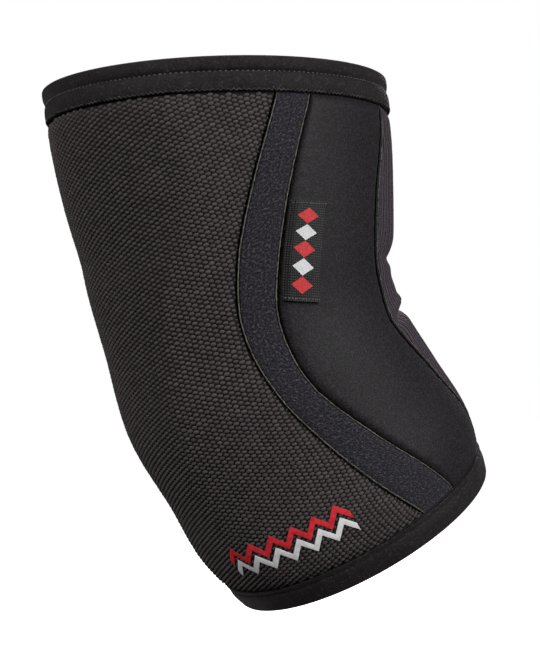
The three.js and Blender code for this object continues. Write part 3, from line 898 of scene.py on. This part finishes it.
def binding(name, rim, turn_in):
    """A ring round the sleeve, folded over a rim."""
    rolls, height, from_rim = rim
    section, faced = binding_section(rolls, height, turn_in)
    degrees = np.linspace(0, 360, RING_STEPS + 1)[:-1][:, None]
    run, under = section[:, 0][None, :], section[:, 1][None, :]
    radius = 1 / degrees_for(from_rim(0.0), 1)
    round_turn = np.radians(degrees)
    gather = np.sin(2 * np.pi * degrees * radius / STITCH_PITCH / 2) * np.sin(round_turn * GATHER_SWELLS)
    slack = np.sin(round_turn * SLACK_WAVES + 1)
    slack = slack + RIPPLE_SHARE * np.sin(round_turn * SLACK_RIPPLES + run * RIPPLE_SLANT)
    on_face = (np.arange(len(section)) < faced) & (section[:, 0] < FACE_FOOT * height)
    lift = on_face * (GATHER * gather + SLACK * slack)
    points = wall_point(from_rim(run + 0 * degrees), degrees, under - lift)
    index = np.arange(points.size // 3).reshape(points.shape[:2])
    across = np.roll(index, -1, axis=0)
    quads = np.stack([index, across, np.roll(across, -1, axis=1), np.roll(index, -1, axis=1)], axis=-1)
    if from_rim is from_upper:
        quads = quads[..., ::-1]
    return counted(mesh_object(name, points, quads.reshape(-1, 4), BINDING, sharp_over=65))


def from_upper(run):
    """A run from the upper rim, as a place along the sleeve."""
    return run / LENGTH


def from_forearm(run):
    """A run from the forearm rim, as a place along the sleeve."""
    return 1 - run / LENGTH


UPPER_RIM = (UPPER_ROLLS, UPPER_BINDING, from_upper)
FOREARM_RIM = (FOREARM_ROLLS, FOREARM_BINDING, from_forearm)
upper_binding = binding("folded_upper_binding", UPPER_RIM, UPPER_TURN_IN)
forearm_binding = binding("folded_forearm_binding", FOREARM_RIM, FOREARM_TURN_IN)

# %% [markdown]
# ## Seams and stitches
# Several kinds of line finish the sleeve. The cut edge of the neoprene shows beside a seam as a thin
# olive line. Black thread closes every seam on the inside. Thick black cords lie deep in the crook's
# seams and along the forearm binding: partly seam thread and partly painted shade, a dark line where
# the grooves fall into shadow. A row of short stitches sits in the groove of a binding, and a zigzag
# covers its edge. All of them follow a path, so three small trees make them: one sweeps a line, one
# sets stitches at an even pitch, and one swings a thread from side to side.


# %% A tree for lines
def even_path(tree, given, step):
    """The path that a tree is given, with points at an even step."""
    path = node(tree, "GeometryNodeMeshToCurve", {"Mesh": given["Geometry"]})
    return node(tree, "GeometryNodeResampleCurve", {"Curve": path, "Length": step}, mode="LENGTH")


def end_in_thread(tree, given, path, sides):
    """Ends a tree in a round thread along a path."""
    radius = node(tree, "ShaderNodeMath", {0: given["Thickness"], 1: 0.5}, operation="MULTIPLY")
    profile = node(tree, "GeometryNodeCurvePrimitiveCircle", {"Resolution": sides, "Radius": radius})
    inputs = {"Curve": path, "Profile Curve": profile, "Fill Caps": True}
    return end_tree(tree, node(tree, "GeometryNodeCurveToMesh", inputs), given["Material"])


def line_tree():
    """Sweeps a round line along a path, a little uneven."""
    tree, given = geometry_tree("Sweep line", Float="Step Thickness Unevenness")
    down = node(tree, "ShaderNodeMath", {0: given["Unevenness"], 1: -1.0}, operation="MULTIPLY")
    low = node(tree, "ShaderNodeCombineXYZ", {axis: down for axis in "XYZ"})
    high = node(tree, "ShaderNodeCombineXYZ", {axis: given["Unevenness"] for axis in "XYZ"})
    inputs = {"Min": low, "Max": high, "Seed": given["Seed"]}
    shake = node(tree, "FunctionNodeRandomValue", inputs, data_type="FLOAT_VECTOR")
    inputs = {"Geometry": even_path(tree, given, given["Step"]), "Offset": shake}
    return end_in_thread(tree, given, node(tree, "GeometryNodeSetPosition", inputs), 6)


# %% A tree for single stitches
STITCH_CHANCE = {"Min": 0.82, "Max": 1.12}


def surface_normal(tree, surface):
    """The direction out of the nearest face of an object."""
    inputs = {"Mesh": shape_of(tree, surface), "Value": node(tree, "GeometryNodeInputNormal")}
    return node(tree, "GeometryNodeSampleNearestSurface", inputs, data_type="FLOAT_VECTOR")


def stitch_tree():
    """Sets a stitch at an even pitch along a path, lying along it on the cloth."""
    tree, given = geometry_tree("Set stitches", Object="Surface Stitch", Float="Pitch Stand")
    normal = surface_normal(tree, given["Surface"])
    rise = node(tree, "ShaderNodeVectorMath", {0: normal, "Scale": given["Stand"]}, operation="SCALE")
    inputs = {"Geometry": even_path(tree, given, given["Pitch"]), "Offset": rise}
    raised = node(tree, "GeometryNodeSetPosition", inputs)
    along = standing(tree, normal, node(tree, "GeometryNodeInputTangent"))
    inputs = {**STITCH_CHANCE, "Seed": given["Seed"]}
    size = node(tree, "FunctionNodeRandomValue", inputs, data_type="FLOAT")
    stitch = shape_of(tree, given["Stitch"])
    inputs = {"Points": raised, "Instance": stitch, "Rotation": along, "Scale": size}
    return end_tree(tree, node(tree, "GeometryNodeInstanceOnPoints", inputs), given["Material"])


# %% A tree for a zigzag thread
ZIGZAG_STEPS = 6  # points along one swing of the thread
SWING_CHANCE = {"Min": 0.15, "Max": 0.6}  # shares of a full swing


def zigzag_tree():
    """Swings a thread from side to side along a path on the cloth."""
    tree, given = geometry_tree("Swing thread", Object="Surface", Float="Pitch Swing Stand Thickness")
    step = node(tree, "ShaderNodeMath", {0: given["Pitch"], 1: float(ZIGZAG_STEPS)}, operation="DIVIDE")
    normal = surface_normal(tree, given["Surface"])
    inputs = {0: normal, 1: node(tree, "GeometryNodeInputTangent")}
    side = node(tree, "ShaderNodeVectorMath", inputs, operation="CROSS_PRODUCT")
    inputs = {0: node(tree, "GeometryNodeInputIndex"), 1: math.tau / ZIGZAG_STEPS}
    turn = node(tree, "ShaderNodeMath", inputs, operation="MULTIPLY")
    wave = node(tree, "ShaderNodeMath", {0: turn}, operation="SINE")
    inputs = {**SWING_CHANCE, "Seed": given["Seed"]}
    stray = node(tree, "FunctionNodeRandomValue", inputs, data_type="FLOAT")
    swing = node(tree, "ShaderNodeMath", {0: wave, 1: stray}, operation="MULTIPLY")
    way = node(tree, "ShaderNodeMath", {0: swing, 1: given["Swing"]}, operation="MULTIPLY")
    swung = node(tree, "ShaderNodeVectorMath", {0: side, "Scale": way}, operation="SCALE")
    rise = node(tree, "ShaderNodeVectorMath", {0: normal, "Scale": given["Stand"]}, operation="SCALE")
    offset = node(tree, "ShaderNodeVectorMath", {0: swung, 1: rise}, operation="ADD")
    inputs = {"Geometry": even_path(tree, given, step), "Offset": offset}
    return end_in_thread(tree, given, node(tree, "GeometryNodeSetPosition", inputs), 5)


LINE, STITCHES, ZIGZAG = line_tree(), stitch_tree(), zigzag_tree()
print("trees:", ", ".join(tree.name for tree in bpy.data.node_groups))

# %% Paths and one stitch
SEAM_POINTS = 200
STITCH_SIDES = 6
STITCH_RINGS = table(
    ("place", "size", "sink"),
    [(-0.5, 0.35, 0.5), (-0.32, 0.9, 0.12), (0, 1, 0), (0.32, 0.9, 0.12), (0.5, 0.35, 0.5)],
)


def path_object(name, paths, closed=False):
    """A mesh of bare edges along one or more lists of points."""
    points, edges = [], []
    for path in paths:
        start = len(points)
        points += np.asarray(path).tolist()
        edges += [(start + i, start + i + 1) for i in range(len(path) - 1)]
        if closed:
            edges.append((start + len(path) - 1, start))
    mesh = bpy.data.meshes.new(name)
    mesh.from_pydata(points, edges, [])
    return placed(name, mesh)


def seam_paths(name, aside, under, tuck=TUCK - 0.5 * MM, past=1 * MM):
    """Paths beside a seam on the near and the far side, aside of it towards the back.

    They end past the edges of the bindings.
    """
    run = np.linspace(UPPER_BINDING - past, LENGTH - FOREARM_BINDING + past, SEAM_POINTS)
    at = run / LENGTH
    degrees = smooth(SECTIONS, name, at) + degrees_for(at, aside)
    return [wall_point(at, sign * degrees, under + tuck * drawn_in(at)) for sign in (1, -1)]


def ring_path(run, under, from_rim):
    """A path round the sleeve, that far from a rim."""
    return wall_point(from_rim(run), np.linspace(0, 360, RING_STEPS + 1)[:-1], under)


def face_ring(rim, down):
    """A path round a binding's face, at a share of its height."""
    rolls, height, from_rim = rim
    return ring_path(down * height, face_depth(rolls, down), from_rim)


def stitch_mesh(long, thick):
    """One stitch: a short thread whose ends dive into the cloth."""
    points = []
    for place, size, sink in zip(*STITCH_RINGS.values()):
        for side in range(STITCH_SIDES):
            turn, radius = 2 * math.pi * side / STITCH_SIDES, size * thick / 2
            points.append((place * long, radius * math.cos(turn), radius * math.sin(turn) - sink * thick))
    faces = list(grid_quads(len(STITCH_RINGS["place"]), STITCH_SIDES, wrap=True))
    faces += [range(STITCH_SIDES - 1, -1, -1), range(len(points) - STITCH_SIDES, len(points))]
    return mesh_object("stitch", points, faces, sharp_over=80)


# %% Lay the seam lines
LINE_STEP = 0.9 * MM
LINE_SUNK, EDGE_ASIDE, CROOK_ASIDE = 0.3 * MM, 0.55 * MM, 0.7 * MM
SHADE_THREAD_SUNK, SHADE_THREAD_ASIDE = 0.5 * MM, 0.2 * MM
INNER_STAND, INNER_PAST = 0.3 * MM, 2.6 * MM  # proud of the wall's inside, and past the bindings
EDGE_BELOW, EDGE_SUNK = 0.3 * MM, 0.85 * MM  # where the black cord of painted shade lies along the forearm binding


def lay_line(name, paths, material, closed=False, **sizes):
    """A round line along each path."""
    given = {"Step": LINE_STEP, "Material": material, **sizes}
    return run_tree(path_object(name, paths, closed), LINE, **given)


paths = seam_paths("back_seam", -EDGE_ASIDE, LINE_SUNK) + seam_paths("side_seam", EDGE_ASIDE, LINE_SUNK)
edge_lines = lay_line("cut_edges", paths, CUT_EDGE, Thickness=0.36 * MM, Unevenness=0.07 * MM, Seed=3)
paths = seam_paths("crook_seam", -CROOK_ASIDE, LINE_SUNK)
sizes = {"Thickness": 0.32 * MM, "Unevenness": 0.06 * MM}
crook_lines = lay_line("crook_cut_edges", paths, CUT_EDGE, **sizes, Seed=4)
# Black cords deep in the crook's two seams: partly seam thread, partly painted shade for the dark line in
# the grooves
paths = seam_paths("crook_seam", SHADE_THREAD_ASIDE, SHADE_THREAD_SUNK)
sizes = {"Thickness": 0.9 * MM, "Unevenness": 0.05 * MM}
crook_shade_threads = lay_line("crook_seam_threads", paths, THREAD, **sizes, Seed=11)
paths = []
for name in ("crook_seam", "side_seam", "back_seam"):
    paths += seam_paths(name, 0, WALL - INNER_STAND, tuck=-INNER_TUCK, past=INNER_PAST)
sizes = {"Step": 1 * MM, "Thickness": 0.9 * MM, "Unevenness": 0.06 * MM}
inner_threads = lay_line("inner_seam_threads", paths, THREAD, **sizes, Seed=13)
# A black cord along the forearm binding: partly thread, partly painted shade for the dark line where the
# panels meet the binding
paths = [ring_path(FOREARM_BINDING + EDGE_BELOW, EDGE_SUNK, from_forearm)]
sizes = {"Thickness": 0.7 * MM, "Unevenness": 0.06 * MM}
forearm_edge_thread = lay_line("forearm_edge_thread", paths, THREAD, closed=True, **sizes, Seed=12)

# %% Sew the bindings
UPPER_GROOVE, FOREARM_GROOVE, ZIGZAG_LINE = 0.453, 0.82, 0.97  # shares of a binding's height


pin_stitch = stitch_mesh(0.75 * MM, 0.4 * MM)
path = path_object("groove_stitches", [face_ring(UPPER_RIM, UPPER_GROOVE)], closed=True)
groove_stitches = run_tree(
    path, STITCHES, Surface=upper_binding, Stitch=pin_stitch, Pitch=STITCH_PITCH, Stand=0.12 * MM, Seed=5,
    Material=PALE_THREAD,
)
path = path_object("forearm_stitches", [face_ring(FOREARM_RIM, FOREARM_GROOVE)], closed=True)
forearm_stitches = run_tree(
    path, STITCHES, Surface=forearm_binding, Stitch=pin_stitch, Pitch=STITCH_PITCH, Stand=0.1 * MM, Seed=6,
    Material=THREAD,
)
path = path_object("edge_zigzag", [face_ring(UPPER_RIM, ZIGZAG_LINE)], closed=True)
edge_zigzag = run_tree(
    path, ZIGZAG, Surface=upper_binding, Pitch=1.6 * MM, Swing=0.8 * MM, Stand=0.12 * MM,
    Thickness=0.3 * MM, Seed=9, Material=EDGE_THREAD,
)
bpy.data.objects.remove(pin_stitch)

# %% [markdown]
# ## Label
# The label is a woven ribbon folded lengthwise over itself, with its two long edges sewn into the
# seam. A flat card would look printed on, so it is drawn as one thin strip that runs out, round the
# fold and back, and its free edge stands a little off the cloth. Its face holds a plain woven row of
# lozenges, and both ends are overcast.

# %% Fold the label
LABEL_LENGTH, LABEL_WIDTH = 29 * MM, 13 * MM
LABEL_THICKNESS, LABEL_CLEARANCE, LABEL_LEAF = 1 * MM, 0.35 * MM, 0.42 * MM
LABEL_SEAM_GAP, LABEL_SLANT = 0.5 * MM, 0.6 * MM
LABEL_AT, LABEL_TILT, LABEL_ROWS = 0.36, 8, 36
# Ribbon doesn't stretch, so it keeps its length where the bend shortens the cloth under it
LABEL_KEEP, LABEL_SPREAD = 0.96, 0.1
LABEL_CURL, LABEL_WAVE, LABEL_CORNERS = 0.22, 0.1, 0.16  # how its free edge stands off, in millimetres


def label_place(along, turn, lift):
    """A place on the label: along it from its middle, out from the seam, and up off the cloth."""
    straight = along * (LABEL_KEEP + LABEL_SPREAD * turn / LABEL_WIDTH)
    at = LABEL_AT + (straight + turn * math.tan(math.radians(LABEL_TILT))) / LENGTH
    turn = turn + LABEL_SLANT * (0.5 + along / LABEL_LENGTH)
    dip = SEAM_DIP * np.clip(1 - turn / SEAM_ROLL, 0, 1)
    degrees = smooth(SECTIONS, "side_seam", at) - degrees_for(at, turn)
    return wall_point(at, degrees, dip - lift)


def label_lift(along, turn):
    """How far the label's foot stands off the cloth: more at its free edge, and slightly waved."""
    wave = LABEL_WAVE * np.sin(along / LABEL_LENGTH * 5 + 0.6)
    wave = wave + LABEL_CORNERS * np.abs(2 * along / LABEL_LENGTH) ** 3
    return LABEL_CLEARANCE + (turn / LABEL_WIDTH) ** 2 * (LABEL_CURL + wave) * MM


def label_ring():
    """The section of the folded ribbon, as (turn, height) pairs round its outside and back inside."""
    half = LABEL_THICKNESS / 2
    fold = LABEL_WIDTH - half
    flat = np.linspace(LABEL_SEAM_GAP, fold, 14)
    bend = np.linspace(np.pi / 2, -np.pi / 2, 9)[1:-1]
    ring = []
    for radius in (half, LABEL_LEAF - half):
        ring += [(x, half + radius) for x in flat]
        ring += [(fold + abs(radius) * math.cos(t), half + radius * math.sin(t)) for t in bend]
        ring += [(x, half - radius) for x in flat[::-1]]
    return np.array(ring)


# %% Weave the label
def make_label():
    """The folded ribbon as a closed mesh, with its length along the sleeve."""
    ring = label_ring()
    along = np.linspace(-LABEL_LENGTH / 2, LABEL_LENGTH / 2, LABEL_ROWS)[:, None]
    turn, height = ring[:, 0][None, :], ring[:, 1][None, :]
    points = label_place(along + 0 * turn, turn + 0 * along, label_lift(along, turn) + height)
    rows, around = points.shape[:2]
    faces = list(grid_quads(rows, around, wrap=True, flip=True))
    for row, flip in ((0, True), (rows - 1, False)):
        for i in range(around // 2 - 1):
            a, b = row * around + i, row * around + i + 1
            c, d = row * around + around - 2 - i, row * around + around - 1 - i
            faces.append((b, c, d, a) if flip else (a, d, c, b))
    path = np.concatenate([[0], np.cumsum(np.linalg.norm(np.diff(ring, axis=0), axis=1))])
    cloth = np.stack(np.broadcast_arrays(path[None, :], along), axis=-1)
    return counted(mesh_object("folded_label", points, faces, RIBBON, cloth))


label = make_label()

# %% The label's lozenges
LOZENGE_SIZE, LOZENGE_STEP = (2.4 * MM, 3.5 * MM), 5 * MM
LOZENGE_AT = 6.6 * MM  # from the seam to the middle of the row
LOZENGE_RINGS, SIDE_STEPS = 5, 4
MOTIF_RISE, MOTIF_SUNK = 0.07 * MM, 0.02 * MM


def on_label(along, turn, lift):
    """A place on the label's upper leaf."""
    return label_place(along, turn, label_lift(along, turn) + LABEL_THICKNESS - MOTIF_SUNK + lift)


def lozenge(along):
    """One lozenge as a thin raised patch: its points, in rings that shrink inwards, and its faces."""
    corners = np.array([(0, -1), (1, 0), (0, 1), (-1, 0)]) * LOZENGE_SIZE
    sides = zip(corners, np.roll(corners, -1, axis=0))
    centre = np.array([along, LOZENGE_AT])
    steps = np.linspace(0, 1, SIDE_STEPS + 1)[:-1, None]
    outline = centre + np.concatenate([a + (b - a) * steps for a, b in sides])
    shares = np.linspace(1, 0, LOZENGE_RINGS + 1)[:-1]
    rings = [centre + (outline - centre) * share for share in shares]
    flat = np.concatenate([outline] + rings + [[centre]])
    count, last = len(outline), len(rings) * len(outline)
    lift = np.concatenate([np.zeros(count), np.full(last + 1, MOTIF_RISE)])
    faces = list(grid_quads(len(rings) + 1, count, wrap=True))
    faces += [(last + i, last + (i + 1) % count, len(flat) - 1) for i in range(count)]
    faces.append(range(count - 1, -1, -1))
    return on_label(flat[:, 0], flat[:, 1], lift), faces


def lozenges(name, material, places):
    """A row of woven lozenges."""
    points, faces = [], []
    for along in places:
        own_points, own_faces = lozenge(along)
        faces += [[int(i) + len(points) for i in face] for face in own_faces]
        points += own_points.tolist()
    return counted(mesh_object(name, points, faces, material, sharp_over=40))


steps = np.arange(-2, 3) * LOZENGE_STEP
label_red = lozenges("label_red_lozenges", RED_YARN, steps[::2])
label_white = lozenges("label_white_lozenges", WHITE_YARN, steps[1::2])

# %% The label's end stitches
END_INSET, END_FROM, END_TO, END_POINTS = 0.7 * MM, 1.4 * MM, LABEL_WIDTH - 1.0 * MM, 24


def label_end(sign):
    """The path of the stitches across one end of the label."""
    turn = np.linspace(END_FROM, END_TO, END_POINTS)
    return on_label(sign * (LABEL_LENGTH / 2 - END_INSET) + 0 * turn, turn, 0.0)


label_stitch = stitch_mesh(0.8 * MM, 0.32 * MM)
path = path_object("label_end_stitches", [label_end(-1), label_end(1)])
label_ends = run_tree(
    path, STITCHES, Surface=label, Stitch=label_stitch, Pitch=1.1 * MM, Stand=0.06 * MM, Seed=8,
    Material=PALE_THREAD,
)
bpy.data.objects.remove(label_stitch)

# %% [markdown]
# ## Transfer print
# Low on the back panel a design is pressed on as a thin film, which lies over the crowns of the knit.
# A generic one serves: two zigzag bands, red over white, that run parallel to the rim. A colour in the
# knit's material would sink between the crowns, so each band is a closed ribbon a fraction of a
# millimetre thick, bent over the surface by the same rule as the rest.

# %% Press the bands on
PRINT_AT, PRINT_HEIGHT = 0.855, 10.5 * MM
PRINT_FROM, PRINT_TO = 166, 116  # degrees round from the crook
PRINT_TEETH, TOOTH_STEPS, BAND_COLUMNS = 6, 16, 7
PRINT_THICKNESS, PRINT_LIFT, PRINT_EDGE = 0.16 * MM, 0.48 * MM, 0.05 * MM
BAND_APART, BAND_SWING, BAND_WIDTH = 0.22, 0.42, 0.26  # shares of the print's height


def print_band(name, material, middle):
    """A zigzag band, with its middle at a share of the print's height."""
    share = np.linspace(0, 1, PRINT_TEETH * TOOTH_STEPS + 1)[:, None]
    across = np.linspace(-0.5, 0.5, BAND_COLUMNS)[None, :]
    zigzag = 2 * np.abs(2 * (share * PRINT_TEETH % 1) - 1) - 1
    rise = middle + BAND_SWING * zigzag / 2 + BAND_WIDTH * across
    degrees = PRINT_FROM + (PRINT_TO - PRINT_FROM) * share
    at = PRINT_AT + rise * PRINT_HEIGHT / LENGTH
    round_edge = PRINT_EDGE * (np.abs(across * 2) ** 4)
    top = wall_point(at, degrees, -(PRINT_LIFT + PRINT_THICKNESS - round_edge))
    foot = wall_point(at, degrees, -PRINT_LIFT)
    return counted(mesh_object(name, [top, foot], shell_faces(*top.shape[:2]), material))


print_red = print_band("print_red_band", RED_PRINT, -BAND_APART)
print_white = print_band("print_white_band", WHITE_PRINT, BAND_APART)

# %% [markdown]
# ## Tie the pieces to the frame
# Every piece rides on the one body and stands for the solid that it replaces, which is hidden. The
# table lists the finish of each piece. A closed mesh has a positive volume when its faces point
# outwards, and checking that number is quicker and surer than looking at every piece, so each one is
# measured first and turned if it has to be. The panels and the label are cut from flat cloth; the
# width, length and area of each panel's cut are measured on its flat cloth and printed. A worn sleeve
# holds its panels stretched. A binding is a straight strip as long as its rim is round, and as wide as
# its area makes it.

# %% The pieces, their finishes and the solids that they replace
PIECES = [
    (back_panel, "textured_knit", "back_panel"),
    (strip_near, "plush_knit", "side_strip_near"),
    (strip_far, "plush_knit", "side_strip_far"),
    (side_near, "smooth_neoprene", "side_panel_near"),
    (side_far, "smooth_neoprene", "side_panel_far"),
    (crook, "ribbed_knit", "crook_panel"),
    (upper_binding, "binding_cloth", "upper_binding"),
    (forearm_binding, "binding_cloth", "forearm_binding"),
    (label, "label_ribbon", "label"),
    (crowns_upper, "textured_knit", None),
    (crowns_lower, "textured_knit", None),
    (print_red, "textured_knit", None),
    (print_white, "textured_knit", None),
    (edge_lines, "plush_knit", None),
    (crook_lines, "ribbed_knit", None),
    (crook_shade_threads, "ribbed_knit", None),
    (inner_threads, "smooth_neoprene", None),
    (forearm_edge_thread, "binding_cloth", None),
    (groove_stitches, "binding_cloth", None),
    (forearm_stitches, "binding_cloth", None),
    (edge_zigzag, "binding_cloth", None),
    (label_red, "label_ribbon", None),
    (label_white, "label_ribbon", None),
    (label_ends, "label_ribbon", None),
]


def signed_volume(piece):
    """The volume inside a closed mesh, negative when its faces point inwards."""
    shape = bmesh.new()
    shape.from_mesh(piece.data)
    volume = shape.calc_volume(signed=True)
    shape.free()
    return volume


for piece, finish, solid in PIECES:
    volume = signed_volume(piece)
    if volume < 0:
        piece.data.flip_normals()
    print(f"{piece.name}: {abs(volume) * 1e6:.2f} cm3{', turned' if volume < 0 else ''}")
    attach(piece, "root")
    if solid:
        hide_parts(solid)
print("pieces:", len(PIECES))


def cut_size(piece):
    """The width, length and area of a panel's cut, from its flat cloth."""
    layer = piece.data.uv_layers["cloth"].data
    places = np.zeros(len(layer) * 2)
    layer.foreach_get("uv", places)
    width, length = np.ptp(places.reshape(-1, 2), axis=0)
    return (float(width), float(length)), min(face_area(piece), 0.999 * float(width * length))


def face_area(piece):
    """The area of one face of a cloth."""
    return sum(face.area for face in piece.data.polygons) / 2


for piece in (back_panel, strip_near, strip_far, side_near, side_far, crook):
    flat, area = cut_size(piece)
    print(f"{piece.name}: cut {flat[0] / MM:.0f} by {flat[1] / MM:.0f} mm, {area * 1e4:.0f} cm2")
for piece, (_, height, from_rim) in ((upper_binding, UPPER_RIM), (forearm_binding, FOREARM_RIM)):
    ring = ring_path(height / 2, 0.0, from_rim)
    length = float(np.linalg.norm(ring - np.roll(ring, 1, axis=0), axis=1).sum())
    width = face_area(piece) / length
    print(f"{piece.name}: a strip {width / MM:.0f} by {length / MM:.0f} mm")

# %% [markdown]
# ## Floor and light
# A dark cloth needs broad, soft light that grazes it, or its relief is lost. The key light stands on the
# right of the camera and a fill on its left, so that the soft ridge down the back parts the two. A weak
# light stands above, and one behind the sleeve lights its far side. The white sky gives little light of
# its own, which keeps the seams dark. The floor is pale and wide.

# %% Floor and light
FLOOR_DROP, FLOOR_HALF = 70 * MM, 12.0
SKY_LIGHT = 0.05  # the share of the white sky that lights the sleeve
LIGHT_DISTANCE = 1.4


def make_floor():
    """A wide pale floor under the sleeve."""
    ways, height = ((-1, -1), (1, -1), (1, 1), (-1, 1)), cad_box[0][2] - FLOOR_DROP
    settings = {
        "Base Color": linear("#fbfbfb"), "Roughness": 0.9, "Specular IOR Level": 0.0,
        "Emission Color": linear("#ffffff"), "Emission Strength": 1.0,
    }
    pale = new_material("pale_studio_floor", settings)
    points = [(FLOOR_HALF * x, FLOOR_HALF * y, height) for x, y in ways]
    floor = mesh_object("floor", points, [(0, 1, 2, 3)], pale)
    floor.visible_diffuse = floor.visible_glossy = False


def make_sky():
    """A white sky. The camera sees it at full strength, and the sleeve is lit by a share of it."""
    world = bpy.data.worlds.new("white_sky")
    world.use_nodes = True
    sky = world.node_tree
    seen = named(node(sky, "ShaderNodeLightPath").outputs, "Is Camera Ray")
    strength = node(sky, "ShaderNodeMapRange", {"Value": seen, "To Min": SKY_LIGHT, "To Max": 1.0})
    backdrop = sky.nodes["Background"]
    backdrop.inputs["Color"].default_value = (1, 1, 1, 1)
    sky.links.new(strength.outputs["Result"], backdrop.inputs["Strength"])
    bpy.context.scene.world = world


def make_light(name, azimuth, elevation, size, power):
    """A square soft light that faces the elbow."""
    lamp = bpy.data.lights.new(name, "AREA")
    lamp.shape, lamp.size, lamp.energy = "SQUARE", size, power
    light = placed(name, lamp)
    towards = compass(azimuth, elevation)
    light.location = towards * LIGHT_DISTANCE
    light.rotation_mode = "QUATERNION"
    light.rotation_quaternion = (-towards).to_track_quat("-Z", "Y")


make_floor()
make_sky()
make_light("key_light", azimuth=25, elevation=15, size=0.7, power=17)
make_light("fill_light", azimuth=-78, elevation=26, size=0.5, power=12)
make_light("top_light", azimuth=-10, elevation=70, size=0.7, power=3)
make_light("back_light", azimuth=140, elevation=30, size=0.8, power=10)
bpy.context.scene.view_settings.view_transform = "Standard"
